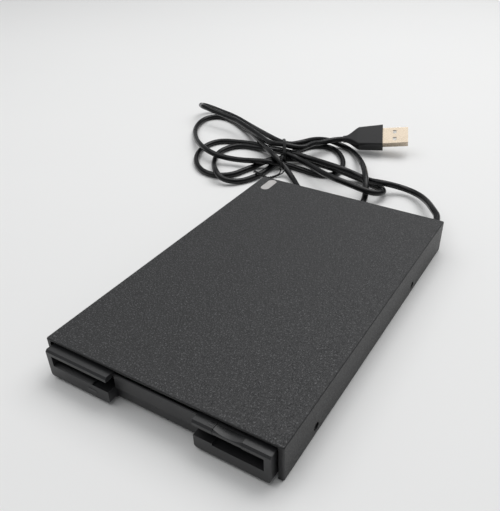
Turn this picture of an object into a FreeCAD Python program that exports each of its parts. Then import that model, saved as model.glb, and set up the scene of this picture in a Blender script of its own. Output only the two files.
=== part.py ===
import FreeCAD, Part
import Sketcher
import math
import os
from FreeCAD import Vector as V, Placement, Rotation

# External 3.5 inch floppy disk drive with a captive USB cord.
# Millimetres. Origin: centre of the drive's footprint on the table (cord left
# out), +X to the drive's right seen from the front, +Y to the rear, +Z up.

doc = FreeCAD.newDocument("FloppyDrive")

# ---------------------------------------------------------------- dimensions
DIMS = [
    # housing
    ("shell_width", 103.0), ("shell_front", -78.25), ("shell_rear", 81.75),
    ("shell_low", 0.6), ("shell_top", 16.3), ("shell_wall", 2.0), ("plate_thick", 1.8),
    ("corner_radius", 0.8), ("window_x", -43.7), ("window_y", 74.05), ("window_half", 3.7), ("window_rad", 2.5),
    ("notch_high", 3.9), ("notch_rad", 1.75), ("base_thick", 1.2), ("foot_rad", 4.9), ("foot_proud", 0.6),
    # front bezel
    ("bezel_half", 48.75), ("bezel_front", -81.75), ("bezel_rear", -75.5), ("bezel_low", 1.3), ("bezel_high", 14.0),
    ("recess_half", 18.85), ("recess_face", -78.0), ("slot_half", 46.3), ("slot_low", 7.5), ("slot_high", 11.8),
    ("button_left", 26.9), ("button_right", 38.1), ("gap_fine", 0.12),
    # door flap
    ("flap_half", 18.5), ("flap_axis_y", -77.55), ("flap_axis_z", 12.65), ("flap_pin", 0.5),
    # drive frame
    ("frame_half", 48.2), ("frame_sheet", 1.0), ("frame_low", 1.9), ("frame_rear", 48.0), ("frame_front", -75.4),
    # loading mechanism
    ("cradle_half", 46.2), ("cradle_low", 7.1), ("cradle_top", 12.5), ("cradle_sheet", 0.5),
    ("slider_half", 46.95), ("slider_top", 13.25), ("load_travel", 5.0), ("load_drop", 2.0),
    # spindle
    ("spindle_y", -30.5), ("rotor_rad", 20.0), ("hub_rad", 11.5), ("shaft_rad", 2.0), ("shaft_clear", 0.03),
    # head positioner
    ("screw_x", -19.0), ("screw_z", 8.5), ("screw_rad", 1.5), ("rod_x", 10.0), ("rod_z", 4.9), ("rod_rad", 1.0),
    ("stepper_rad", 4.8), ("head_y", 9.0),
    # boards
    ("board_thick", 0.8), ("board_low", 2.8), ("bridge_low", 3.4), ("bridge_thick", 1.0),
    # cord
    ("cord_dia", 3.5), ("gland_x", 45.6), ("gland_z", 9.2), ("gland_rad", 2.85),
    # plug
    ("usb_width", 12.0), ("usb_height", 4.5), ("usb_length", 16.2),
]
sheet = doc.addObject("Spreadsheet::Sheet", "Dims")
for row, (alias, value) in enumerate(DIMS, start=1):
    sheet.set("A%d" % row, alias)
    sheet.set("B%d" % row, str(value))
    sheet.setAlias("B%d" % row, alias)
doc.recompute()
D = dict(DIMS)
PARTS = []


def ex(text):
    """Turn @alias into a sheet reference."""
    return text.replace("@", "Dims.")


def val(v):
    """Number behind a value that is either a number or an @alias expression."""
    if isinstance(v, str):
        names = dict(D)
        out, i = "", 0
        while i < len(v):
            if v[i] == "@":
                j = i + 1
                while j < len(v) and (v[j].isalnum() or v[j] == "_"):
                    j += 1
                out += repr(float(names[v[i + 1:j]]))
                i = j
            else:
                out += v[i]
                i += 1
        return arithmetic(out)
    return float(v)


def arithmetic(text):
    """Evaluate + - * / and brackets."""
    text = text.replace(" ", "")
    pos = [0]

    def number():
        if text[pos[0]] == "(":
            pos[0] += 1
            r = addsub()
            pos[0] += 1
            return r
        if text[pos[0]] == "-":
            pos[0] += 1
            return -number()
        s = pos[0]
        while pos[0] < len(text) and (text[pos[0]].isdigit() or text[pos[0]] == "."):
            pos[0] += 1
        return float(text[s:pos[0]])

    def muldiv():
        r = number()
        while pos[0] < len(text) and text[pos[0]] in "*/":
            op = text[pos[0]]
            pos[0] += 1
            n = number()
            r = r * n if op == "*" else r / n
        return r

    def addsub():
        r = muldiv()
        while pos[0] < len(text) and text[pos[0]] in "+-":
            op = text[pos[0]]
            pos[0] += 1
            n = muldiv()
            r = r + n if op == "+" else r - n
        return r

    return addsub()


def bind(obj, prop, v):
    if isinstance(v, str):
        obj.setExpression(prop, ex(v))


def keep(obj, label):
    """Register a finished sub-part under its node name."""
    obj.Label = label
    PARTS.append(obj)
    return obj


# ------------------------------------------------------------ Part primitives
count = [0]


def uid(base):
    count[0] += 1
    return "%s_%d" % (base, count[0])


def box(x0, x1, y0, y1, z0, z1):
    o = doc.addObject("Part::Box", uid("Box"))
    o.Length, o.Width, o.Height = val(x1) - val(x0), val(y1) - val(y0), val(z1) - val(z0)
    o.Placement = Placement(V(val(x0), val(y0), val(z0)), Rotation())
    for prop, a, b in (("Length", x0, x1), ("Width", y0, y1), ("Height", z0, z1)):
        if isinstance(a, str) or isinstance(b, str):
            o.setExpression(prop, ex("(%s) - (%s)" % (b, a)))
    for prop, a in (("Placement.Base.x", x0), ("Placement.Base.y", y0), ("Placement.Base.z", z0)):
        bind(o, prop, a)
    return o


AXES = {"z": Rotation(), "x": Rotation(V(0, 1, 0), 90), "y": Rotation(V(1, 0, 0), -90)}


def cyl(x, y, z, r, length, axis="z"):
    """Cylinder that starts at x, y, z and runs along +axis."""
    o = doc.addObject("Part::Cylinder", uid("Cyl"))
    o.Radius, o.Height = val(r), val(length)
    o.Placement = Placement(V(val(x), val(y), val(z)), AXES[axis])
    bind(o, "Radius", r)
    bind(o, "Height", length)
    for prop, a in (("Placement.Base.x", x), ("Placement.Base.y", y), ("Placement.Base.z", z)):
        bind(o, prop, a)
    return o


def cone(x, y, z, r1, r2, length, axis="z"):
    o = doc.addObject("Part::Cone", uid("Cone"))
    o.Radius1, o.Radius2, o.Height = val(r1), val(r2), val(length)
    o.Placement = Placement(V(val(x), val(y), val(z)), AXES[axis])
    for prop, a in (("Radius1", r1), ("Radius2", r2), ("Height", length)):
        bind(o, prop, a)
    for prop, a in (("Placement.Base.x", x), ("Placement.Base.y", y), ("Placement.Base.z", z)):
        bind(o, prop, a)
    return o


def fuse(*objs):
    if len(objs) == 1:
        return objs[0]
    o = doc.addObject("Part::MultiFuse", uid("Fuse"))
    o.Shapes = list(objs)
    return o


def cut(base, *tools):
    o = doc.addObject("Part::Cut", uid("Cut"))
    o.Base = base
    o.Tool = fuse(*tools)
    return o


def group(*objs):
    """Separate solids kept in one node."""
    o = doc.addObject("Part::Compound", uid("Group"))
    o.Links = list(objs)
    return o


# -------------------------------------------------------- PartDesign helpers
def body(name):
    b = doc.addObject("PartDesign::Body", "B_" + name)
    b.Label = name
    return b


def plane(b, role):
    for f in b.Origin.OriginFeatures:
        if f.Role == role:
            return f


def sketch(b, role, off):
    s = b.newObject("Sketcher::SketchObject", uid("Sk"))
    s.AttachmentSupport = [(plane(b, role), "")]
    s.MapMode = "FlatFace"
    s.AttachmentOffset = Placement(V(0, 0, val(off)), Rotation())
    bind(s, "AttachmentOffset.Base.z", off)
    return s


def datum(s, kind, geo, pos, v):
    """Distance of a sketch point from the sketch origin along x or y."""
    n = val(v)
    if abs(n) < 1e-9:
        s.addConstraint(Sketcher.Constraint("PointOnObject", geo, pos, -2 if kind == "DistanceX" else -1))
        return
    c = s.addConstraint(Sketcher.Constraint(kind, -1, 1, geo, pos, n))
    if isinstance(v, str):
        s.setExpression("Constraints[%d]" % c, ex(v))


def poly(s, pts):
    """Closed polygon through the points, each pinned by its two coordinates."""
    n = len(pts)
    vs = [V(val(x), val(y), 0) for x, y in pts]
    first = None
    for i in range(n):
        g = s.addGeometry(Part.LineSegment(vs[i], vs[(i + 1) % n]), False)
        if first is None:
            first = g
    for i in range(n):
        s.addConstraint(Sketcher.Constraint("Coincident", first + i, 2, first + (i + 1) % n, 1))
    for i in range(n):
        datum(s, "DistanceX", first + i, 1, pts[i][0])
        datum(s, "DistanceY", first + i, 1, pts[i][1])


def rect(s, x0, x1, y0, y1):
    poly(s, [(x0, y0), (x1, y0), (x1, y1), (x0, y1)])


def circle(s, x, y, r):
    g = s.addGeometry(Part.Circle(V(val(x), val(y), 0), V(0, 0, 1), val(r)), False)
    datum(s, "DistanceX", g, 3, x)
    datum(s, "DistanceY", g, 3, y)
    c = s.addConstraint(Sketcher.Constraint("Radius", g, val(r)))
    if isinstance(r, str):
        s.setExpression("Constraints[%d]" % c, ex(r))


def slot(s, x, y, half, r):
    """Upright stadium: half is the distance of each arc centre from the middle."""
    cx, cy, h, q = val(x), val(y), val(half), val(r)
    a = s.addGeometry(Part.ArcOfCircle(Part.Circle(V(cx, cy + h, 0), V(0, 0, 1), q), 0, math.pi), False)
    b = s.addGeometry(Part.LineSegment(V(cx - q, cy + h, 0), V(cx - q, cy - h, 0)), False)
    c = s.addGeometry(Part.ArcOfCircle(Part.Circle(V(cx, cy - h, 0), V(0, 0, 1), q), math.pi, 2 * math.pi), False)
    d = s.addGeometry(Part.LineSegment(V(cx + q, cy - h, 0), V(cx + q, cy + h, 0)), False)
    s.addConstraint(Sketcher.Constraint("Tangent", a, 2, b, 1))
    s.addConstraint(Sketcher.Constraint("Tangent", b, 2, c, 1))
    s.addConstraint(Sketcher.Constraint("Tangent", c, 2, d, 1))
    s.addConstraint(Sketcher.Constraint("Tangent", d, 2, a, 1))
    datum(s, "DistanceX", a, 3, x)
    datum(s, "DistanceX", c, 3, x)
    datum(s, "DistanceY", a, 3, "(%s) + (%s)" % (y, half))
    datum(s, "DistanceY", c, 3, "(%s) - (%s)" % (y, half))
    k = s.addConstraint(Sketcher.Constraint("Radius", a, q))
    if isinstance(r, str):
        s.setExpression("Constraints[%d]" % k, ex(r))


def neg(v):
    return "-(%s)" % v if isinstance(v, str) else -v


def pad(b, role, draw, lo, hi):
    """Add material between lo and hi along the plane's world axis."""
    off = neg(hi) if role == "XZ_Plane" else lo
    s = sketch(b, role, off)
    draw(s)
    p = b.newObject("PartDesign::Pad", uid("Pad"))
    p.Profile = s
    p.Length = val(hi) - val(lo)
    if isinstance(lo, str) or isinstance(hi, str):
        p.setExpression("Length", ex("(%s) - (%s)" % (hi, lo)))
    b.Tip = p
    doc.recompute()
    return p


def pocket(b, role, draw, lo, hi, least=0.01):
    """Remove material between lo and hi along the plane's world axis."""
    before = b.Shape.Volume
    off = neg(lo) if role == "XZ_Plane" else hi
    s = sketch(b, role, off)
    draw(s)
    p = b.newObject("PartDesign::Pocket", uid("Pocket"))
    p.Profile = s
    p.Length = val(hi) - val(lo)
    if isinstance(lo, str) or isinstance(hi, str):
        p.setExpression("Length", ex("(%s) - (%s)" % (hi, lo)))
    b.Tip = p
    doc.recompute()
    if not b.Shape.Volume < before - least:
        raise RuntimeError("pocket in %s removed nothing: %s" % (b.Label, s.Name))
    return p


def edges_of(shape, test):
    names = []
    for i, e in enumerate(shape.Edges, start=1):
        c = e.BoundBox
        if test(c, e):
            names.append("Edge%d" % i)
    return names


def fillet(b, test, r, kind="PartDesign::Fillet"):
    base = b.Tip
    names = edges_of(base.Shape, test)
    if not names:
        raise RuntimeError("no edge to round in " + b.Label)
    f = b.newObject(kind, uid("Round"))
    f.Base = (base, names)
    if kind == "PartDesign::Fillet":
        f.Radius = val(r)
        bind(f, "Radius", r)
    else:
        f.Size = val(r)
        bind(f, "Size", r)
    b.Tip = f
    doc.recompute()
    return f


def near(a, v, tol=0.02):
    return abs(a - val(v)) < tol


def upright(c):
    return c.XLength < 0.02 and c.YLength < 0.02 and c.ZLength > 0.3


# ================================================================== HOUSING
# Top cover: a five-sided moulded lid, open at the front and below.
b = body("top_cover")
hw = "@shell_width / 2"
pad(b, "XY_Plane", lambda s: rect(s, "-(%s)" % hw, hw, "@shell_front", "@shell_rear"), "@shell_low", "@shell_top")
fillet(b, lambda c, e: upright(c) and near(c.YMax, "@shell_rear"), "@corner_radius")
fillet(b, lambda c, e: upright(c) and near(c.YMin, "@shell_front"), 0.8)
fillet(b, lambda c, e: near(c.ZMin, "@shell_top") and near(c.ZMax, "@shell_top"), 0.55)
inner = "@shell_width / 2 - @shell_wall"
pocket(b, "XY_Plane", lambda s: rect(s, "-(%s)" % inner, inner, "@shell_front - 2", "@shell_rear - @shell_wall"),
       "@shell_low - 1", "@shell_top - @plate_thick")
pocket(b, "XY_Plane", lambda s: slot(s, "@window_x", "@window_y", "@window_half", "@window_rad"),
       "@shell_top - 3", "@shell_top + 1")
pocket(b, "YZ_Plane", lambda s: [circle(s, y, "@notch_high", "@notch_rad") for y in (-55.5, 40.05)], -53, 53)
# front edge of the lid undercut to a thin lip, leaving a shadow gap over the bezel
pocket(b, "YZ_Plane", lambda s: poly(s, [(-78.6, 15.65), (-78.6, 14.2), (-76.7, 14.2), (-76.7, 15.5)]), "-(%s) + 0.2" % inner, "%s - 0.2" % inner)
pocket(b, "XZ_Plane", lambda s: circle(s, "@gland_x", "@gland_z", "@gland_rad"), 79, 83)
pad(b, "XY_Plane", lambda s: (circle(s, -33, 74, 3.0), circle(s, 34, 74, 3.0)), 1.85, "@shell_top - @plate_thick")
pocket(b, "XY_Plane", lambda s: (circle(s, -33, 74, 1.05), circle(s, 34, 74, 1.05)), 1.0, 11.0)
# shallow stiffening ribs inside the side walls, clear of the drive frame
pad(b, "XY_Plane", lambda s: (rect(s, "-(%s)" % inner, "-(%s) + 0.9" % inner, 62, 64),
                              rect(s, "%s - 0.9" % inner, inner, 62, 64)), 2.2, "@shell_top - @plate_thick")
keep(b, "top_cover")

# Bottom cover: flat tray with two upright side flanges, board stand-offs and screw holes.
b = body("bottom_cover")
pad(b, "XY_Plane", lambda s: rect(s, -49.35, 49.35, -75.2, 79.6), "@shell_low", "@shell_low + @base_thick")
fillet(b, lambda c, e: upright(c) and near(c.YMax, 79.6), 1.5)
pad(b, "XY_Plane", lambda s: (rect(s, -49.35, -48.35, -73, 58), rect(s, 48.35, 49.35, -73, 58)), 1.7, 8.8)
pad(b, "XY_Plane", lambda s: (circle(s, -45, 54.5, 1.8), circle(s, 45, 54.5, 1.8),
                              circle(s, -14, 76, 1.8), circle(s, 16, 76, 1.8)), 1.7, "@bridge_low")
pocket(b, "XY_Plane", lambda s: [circle(s, x, y, 5.1) for x in (-40, 40) for y in (-64, 67)], 0.3, 1.0)
pocket(b, "XY_Plane", lambda s: [circle(s, x, y, 1.3) for x, y in ((-33, 74), (34, 74), (-30, -66), (30, -66))], 0.2, 2.2)
pocket(b, "XY_Plane", lambda s: [circle(s, x, y, 2.6) for x, y in ((-33, 74), (34, 74), (-30, -66), (30, -66))], 0.2, 1.35)
pocket(b, "YZ_Plane", lambda s: [circle(s, y, "@notch_high", 1.25) for y in (-55.5, 40.05)], -50, 50)
pocket(b, "XY_Plane", lambda s: rect(s, -32, 32, -22, 34), 0.2, 0.85)
keep(b, "bottom_cover")

# Four round rubber feet, each with a small chamfer, seated in recesses of the bottom cover.
feet = []
for x in (-40, 40):
    for y in (-64, 67):
        feet.append(fuse(cone(x, y, 0, "@foot_rad - 0.35", "@foot_rad", 0.3), cyl(x, y, 0.3, "@foot_rad", 0.7)))
keep(group(*feet), "rubber_feet")


def machine_screw(x, y, z, head_r, head_t, shank_r, shank_l, axis):
    """Pan-head screw: head on the -axis side, cross recess in the head."""
    d = {"z": V(0, 0, 1), "x": V(1, 0, 0), "mx": V(-1, 0, 0), "mz": V(0, 0, -1)}[axis]
    rot = {"z": Rotation(), "mz": Rotation(V(1, 0, 0), 180), "x": Rotation(V(0, 1, 0), 90), "mx": Rotation(V(0, 1, 0), -90)}[axis]
    p = V(x, y, z)
    parts = []
    for r1, r2, a, l in ((head_r * 0.86, head_r, 0.0, head_t * 0.35), (head_r, head_r, head_t * 0.35, head_t * 0.65)):
        o = doc.addObject("Part::Cone" if r1 != r2 else "Part::Cylinder", uid("Head"))
        if r1 != r2:
            o.Radius1, o.Radius2 = r1, r2
        else:
            o.Radius = r1
        o.Height = l
        o.Placement = Placement(p + d * a, rot)
        parts.append(o)
    o = doc.addObject("Part::Cylinder", uid("Shank"))
    o.Radius, o.Height = shank_r, shank_l
    o.Placement = Placement(p + d * head_t, rot)
    parts.append(o)
    solid = fuse(*parts)
    tools = []
    for k in (0, 90):
        t = doc.addObject("Part::Box", uid("Cross"))
        t.Length, t.Width, t.Height = head_r * 1.1, head_r * 0.26, head_t * 0.5 + 0.2
        q = rot.multiply(Rotation(V(0, 0, 1), k))
        t.Placement = Placement(p - d * 0.2 + q.multVec(V(-head_r * 0.55, -head_r * 0.13, 0)), q)
        tools.append(t)
    return cut(solid, *tools)


keep(group(*[machine_screw(x, y, 0.7, 2.35, 0.62, 0.95, l, "z")
             for x, y, l in ((-33, 74, 6.5), (34, 74, 6.5), (-30, -66, 1.4), (30, -66, 1.4))]), "cover_screws")
keep(group(*[machine_screw(sx * 51.0, y, 3.9, 1.5, 0.98, 0.9, 3.6, "mx" if sx > 0 else "x")
             for sx in (-1, 1) for y in (-55.5, 40.05)]), "side_screws")

# Front bezel: two jaws with the disk slot, a finger recess between them, the
# notch for the eject button in the right jaw's upper lip.
b = body("front_bezel")
rh = "@recess_half"
pad(b, "XY_Plane", lambda s: poly(s, [
    ("-@bezel_half", "@bezel_front"), ("-(%s)" % rh, "@bezel_front"), ("-(%s)" % rh, "@recess_face"),
    (rh, "@recess_face"), (rh, "@bezel_front"), ("@bezel_half", "@bezel_front"),
    ("@bezel_half", "@bezel_rear"), ("-@bezel_half", "@bezel_rear")]), "@bezel_low", "@bezel_high")
fillet(b, lambda c, e: upright(c) and near(c.YMin, "@recess_face") and near(abs(c.XMin), rh), 1.1)
fillet(b, lambda c, e: c.YLength > 1 and c.XLength < 0.02 and near(c.ZMin, "@bezel_low") and c.ZLength < 0.02
       and c.YMin < -81.7 and c.YMax < -70, 1.3)
# disk slot right through the jaws
pocket(b, "XZ_Plane", lambda s: rect(s, "-@slot_half", "@slot_half", "@slot_low", "@slot_high"), "@bezel_front - 1", "@bezel_rear + 1")
# lower lip steps down beside the finger recess
pocket(b, "XZ_Plane", lambda s: (rect(s, -26.4, -17, 7.0, 7.8), rect(s, 17, 26.4, 7.0, 7.8)), "@bezel_front - 1", "@bezel_rear + 1")
# window for the door flap and its swing
pocket(b, "XZ_Plane", lambda s: rect(s, "-(%s)" % rh, rh, 6.55, 13.3), "@recess_face - 1", "@bezel_rear + 1")
# between the jaws the bezel stands back over the flap and under it
pocket(b, "XY_Plane", lambda s: rect(s, "-(%s)" % rh, rh, -79.0, -76.9), 13.2, "@bezel_high + 1")
pocket(b, "XY_Plane", lambda s: rect(s, "-(%s)" % rh, rh, -79.0, -77.2), "@bezel_low - 1", 6.6)
# lead-in on the lower lip of both jaws: a deep step on the right, a slope on the left
pocket(b, "YZ_Plane", lambda s: poly(s, [(-82.2, 6.15), (-82.2, 7.9), (-77.1, 7.9), (-77.1, 6.5), (-81.75, 6.2)]), 26.5, "@slot_half")
pocket(b, "YZ_Plane", lambda s: poly(s, [(-82.2, 6.0), (-82.2, 7.9), (-80.0, 7.9), (-80.0, 7.5), (-81.75, 6.9)]), "-@slot_half", -26.5)
# eject button notch through the upper lip, with a bridge left behind it
pocket(b, "XZ_Plane", lambda s: rect(s, "@button_left", "@button_right", "@slot_high - 0.2", "@bezel_high + 1"), "@bezel_front - 1", -77.45)
pocket(b, "XZ_Plane", lambda s: rect(s, "@button_left", "@button_right", "@slot_high - 0.2", 13.42), -77.6, "@bezel_rear + 1")
# light guide channel in the first segment of the upper lip
pocket(b, "XZ_Plane", lambda s: rect(s, 24.85, 26.35, 12.45, 13.45), -80.35, "@bezel_rear + 1")
pocket(b, "XY_Plane", lambda s: rect(s, 24.85, 26.35, -80.35, -78.75), 13.0, "@bezel_high + 1")
# top front edges of the jaws broken, top face falling slightly to the front
pocket(b, "YZ_Plane", lambda s: poly(s, [(-82.2, 13.15), (-81.75, 13.15), (-81.05, 14.0), (-81.05, 14.4), (-82.2, 14.4)]), -50, 50)
# flap hinge holes in the recess corners
pocket(b, "YZ_Plane", lambda s: circle(s, "@flap_axis_y", "@flap_axis_z", "@flap_pin + 0.05"), -20.6, 20.6)
pocket(b, "YZ_Plane", lambda s: circle(s, "@flap_axis_y", "@flap_axis_z", 1.0), 18.8, 20.1)
# two tongues that slip inside the drive frame
pad(b, "XY_Plane", lambda s: (rect(s, -47.2, -46.5, -76.0, -72.0), rect(s, 46.5, 47.2, -76.0, -72.0)), 2.9, 6.4)
keep(b, "front_bezel")

# ============================================================== DOOR FLAP
b = body("door_flap")
pad(b, "YZ_Plane", lambda s: poly(s, [(-78.25, 6.75), (-77.35, 6.75), (-77.05, 12.2), (-77.0, 12.9), (-77.4, 13.18),
                                      (-77.75, 13.15), (-78.0, 12.8)]), "-@flap_half", "@flap_half")
pad(b, "YZ_Plane", lambda s: circle(s, "@flap_axis_y", "@flap_axis_z", "@flap_pin"), "-@flap_half - 1.9", "@flap_half + 1.9")
keep(b, "door_flap")


def helix_spring(cx, cy, cz, radius, wire, turns, pitch, axis):
    """Round-wire spring: helical sweep starting at cx, cy, cz along +axis."""
    height = turns * pitch
    path = Part.makeHelix(pitch, height, radius)
    ring = Part.Wire([Part.Circle(V(radius, 0, 0), V(0, 1, 0), wire / 2.0).toShape()])
    solid = Part.Wire(path.Edges).makePipeShell([ring], True, True)
    if solid.Volume < 0:
        solid.reverse()
    solid.Placement = Placement(V(cx, cy, cz), AXES[axis])
    return solid


def wound_spring(cx, cy, cz, radius, wire, turns, pitch, axis):
    """Round-wire spring wound in quarter turns, starting at cx, cy, cz along +axis."""
    def at(a):
        return V(radius * math.cos(a), radius * math.sin(a), pitch * a / (2 * math.pi))
    quarter = math.pi / 2
    edges = [Part.Arc(at(k * quarter), at((k + 0.5) * quarter), at((k + 1) * quarter)).toShape() for k in range(int(round(turns * 4)))]
    ring = Part.Wire([Part.Circle(at(0), edges[0].tangentAt(edges[0].FirstParameter), wire / 2.0).toShape()])
    solid = Part.Wire(edges).makePipeShell([ring], True, False)
    if solid.Volume < 0:
        solid.reverse()
    solid.Placement = Placement(V(cx, cy, cz), AXES[axis])
    return solid


def feature(shape, label):
    o = doc.addObject("Part::Feature", uid("Free"))
    o.Shape = shape
    return keep(o, label)


feature(wound_spring(18.75, D["flap_axis_y"], D["flap_axis_z"] - 0.0, 0.78, 0.22, 4, 0.3, "x"), "door_spring")

# ============================================================ DRIVE FRAME
fh = "@frame_half"
b = body("drive_frame")
pad(b, "XY_Plane", lambda s: rect(s, "-(%s)" % fh, fh, "@frame_front", "@frame_rear"), "@frame_low", 12.95)
pocket(b, "XY_Plane", lambda s: rect(s, "-(%s) + @frame_sheet" % fh, "%s - @frame_sheet" % fh, "@frame_front - 2", "@frame_rear + 2"),
       "@frame_low + 0.8", 15)
pocket(b, "XY_Plane", lambda s: (circle(s, -30, -66, 1.0), circle(s, 30, -66, 1.0)), 1.0, 4.0)
pocket(b, "YZ_Plane", lambda s: [circle(s, y, "@notch_high", 0.95) for y in (-55.5, 40.05)], -50, 50)
pocket(b, "XY_Plane", lambda s: (rect(s, -8, 8, 20, 40), rect(s, -40, -26, 0, 30), rect(s, 26, 40, 0, 30)), 1.0, 4.0)
# lugs for the slider springs
pad(b, "XY_Plane", lambda s: (rect(s, -47.5, -43.8, 30, 30.8), rect(s, 43.8, 47.5, 30, 30.8)), 10.4, 12.9)
# posts for the shield screws stand on the floor behind the disk
pad(b, "XY_Plane", lambda s: (circle(s, -44.5, 44, 1.9), circle(s, 44.5, 44, 1.9)), "@frame_low + 0.7", 13.6)
pocket(b, "XY_Plane", lambda s: (circle(s, -44.5, 44, 0.75), circle(s, 44.5, 44, 0.75)), 8.0, 15.0)
keep(b, "drive_frame")

# Thin steel shield over the mechanism.
shield = cut(box("-(%s)" % fh, fh, -74.8, "@frame_rear", 13.6, 14.1), box(-7, 9, 6, 47, 13, 15),
             cyl(-44.5, -60, 13, 1.3, 2), cyl(44.5, -60, 13, 1.3, 2), cyl(-44.5, 44, 13, 1.3, 2), cyl(44.5, 44, 13, 1.3, 2))
sides = [box("-(%s)" % fh, "-(%s) + 0.6" % fh, -70, 40, 12.97, 13.6), box("%s - 0.6" % fh, fh, -70, 40, 12.97, 13.6)]
keep(fuse(shield, *sides), "top_shield")
keep(group(*[fuse(cyl(sx * 44.5, 44, 14.1, 1.6, 0.3), cyl(sx * 44.5, 44, 9.0, 0.75, 5.1)) for sx in (-1, 1)]), "shield_screws")
# ============================================================ SPINDLE MOTOR
sy = "@spindle_y"
board = cut(box(-46, 46, -71.5, 47.2, "@board_low", "@board_low + @board_thick"), cyl(0, sy, 2, 3.4, 3),
            cyl(-30, -66, 2, 2.2, 3), cyl(30, -66, 2, 2.2, 3), cyl(-44.5, 44, 2, 2.2, 3), cyl(44.5, 44, 2, 2.2, 3),
            box(-47, -43, -71, 10, 2, 5), box(43, 47, -71, 10, 2, 5))
keep(board, "control_board")
bearing = cut(fuse(cyl(0, sy, 2.7, 3.2, 1.2), cyl(0, sy, 2.7, 2.9, 2.6)), cyl(0, sy, 2.0, "@shaft_rad + @shaft_clear", 5))
keep(bearing, "spindle_bearing")
core = [cut(cyl(0, sy, 3.95, 6.6, 0.9), cyl(0, sy, 3.5, 3.6, 3))]
for k in range(9):
    t = doc.addObject("Part::Box", uid("Tooth"))
    t.Length, t.Width, t.Height = 9.0, 2.0, 0.9
    q = Rotation(V(0, 0, 1), 40 * k)
    t.Placement = Placement(V(0, val(sy), 3.95) + q.multVec(V(6.2, -1.0, 0)), q)
    h = doc.addObject("Part::Box", uid("Shoe"))
    h.Length, h.Width, h.Height = 1.2, 7.0, 0.9
    h.Placement = Placement(V(0, val(sy), 3.95) + q.multVec(V(14.8, -3.5, 0)), q)
    core += [t, h]
keep(fuse(*core), "stator_core")
coils = []
for k in range(9):
    q = Rotation(V(0, 0, 1), 40 * k)
    o = doc.addObject("Part::Box", uid("Coil"))
    o.Length, o.Width, o.Height = 6.4, 3.9, 1.6
    o.Placement = Placement(V(0, val(sy), 3.65) + q.multVec(V(8.2, -1.95, 0)), q)
    i = doc.addObject("Part::Box", uid("Bobbin"))
    i.Length, i.Width, i.Height = 8.0, 2.06, 0.96
    i.Placement = Placement(V(0, val(sy), 3.92) + q.multVec(V(7.4, -1.03, 0)), q)
    coils.append(cut(o, i))
keep(group(*coils), "stator_coils")
rotor = cut(fuse(cyl(0, sy, 3.9, "@rotor_rad", 2.3)), cyl(0, sy, 3.0, "@rotor_rad - 0.7", 2.7), cyl(0, sy, 3.0, "@shaft_rad", 5))
keep(rotor, "spindle_rotor")
keep(cut(cyl(0, sy, 4.0, "@rotor_rad - 0.72", 1.68), cyl(0, sy, 3.5, "@rotor_rad - 3.2", 3)), "rotor_magnet")
keep(cut(cyl(0, sy, 6.2, "@hub_rad", 0.6), cyl(0, sy, 6.0, "@shaft_rad", 2), box(6.6, 10.6, "@spindle_y - 1.5", "@spindle_y + 1.5", 6.0, 7.5)), "chuck_hub")
keep(fuse(cyl(0, sy, 2.75, "@shaft_rad", 4.35), cone(0, sy, 7.1, "@shaft_rad", "@shaft_rad - 0.45", 0.4)), "spindle_shaft")
keep(fuse(cyl(8.6, sy, 6.2, 1.1, 1.0), cone(8.6, sy, 7.2, 1.1, 0.8, 0.25)), "drive_pin")

# ============================================================ DISK CRADLE
ch = "@cradle_half"
cs = "@cradle_sheet"
b = body("disk_cradle")
pad(b, "XZ_Plane", lambda s: poly(s, [
    ("-(%s)" % ch, "@cradle_low"), ("-42.5", "@cradle_low"), ("-42.5", "@cradle_low + 0.4"), ("-(%s) + %s" % (ch, cs), "@cradle_low + 0.4"),
    ("-(%s) + %s" % (ch, cs), "@cradle_top - 0.45"), ("%s - %s" % (ch, cs), "@cradle_top - 0.45"),
    ("%s - %s" % (ch, cs), "@cradle_low + 0.4"), ("42.5", "@cradle_low + 0.4"), ("42.5", "@cradle_low"), (ch, "@cradle_low"),
    (ch, "@cradle_top"), ("-(%s)" % ch, "@cradle_top")]), -69.6, 14.5)
# window for the head arm and the sweep of the shutter lever's pin
pocket(b, "XY_Plane", lambda s: poly(s, [(-36.2, 20), (-36.2, 3), (-34.6, -4), (-30, -11), (-22, -15.2), (-10, -16), (12, -16), (12, 20)]), 11.5, 13)
# front edge cut back for the open flap
pocket(b, "XY_Plane", lambda s: rect(s, -21.5, 21.5, -75, -64), 11.5, 13)
# rear corners cut back for the slider's spring tabs
pocket(b, "XY_Plane", lambda s: (rect(s, -47.5, -43.2, 10.1, 15), rect(s, 43.2, 47.5, 10.1, 15)), 6.5, 13)
# lever pivot hole
pocket(b, "XY_Plane", lambda s: circle(s, -40, -12, 1.25), 11.5, 13)
pins = lambda s: [circle(s, y, 10.0, 0.6) for y in (-55.0, 5.0)]
pad(b, "YZ_Plane", pins, "@cradle_half - 0.3", "@cradle_half + 0.7")
pad(b, "YZ_Plane", pins, "-@cradle_half - 0.7", "-@cradle_half + 0.3")
keep(b, "disk_cradle")

# ============================================================ SLIDER PLATE
sh = "@slider_half"
b = body("slider_plate")
pad(b, "XZ_Plane", lambda s: poly(s, [("-(%s)" % sh, 6.9), ("-(%s) + 0.45" % sh, 6.9), ("-(%s) + 0.45" % sh, "@slider_top - 0.45"),
                                      ("%s - 0.45" % sh, "@slider_top - 0.45"), ("%s - 0.45" % sh, 6.9), (sh, 6.9),
                                      (sh, "@slider_top"), ("-(%s)" % sh, "@slider_top")]), -69.2, 16)
pocket(b, "XY_Plane", lambda s: poly(s, [(-42.9, 20), (-42.9, -36), (42.9, -36), (42.9, 20)]), 12, 14)
pocket(b, "XY_Plane", lambda s: (rect(s, -22, 22, -72, -61), rect(s, 23.6, 27.4, -72, -67.6)), 12, 14)
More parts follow.
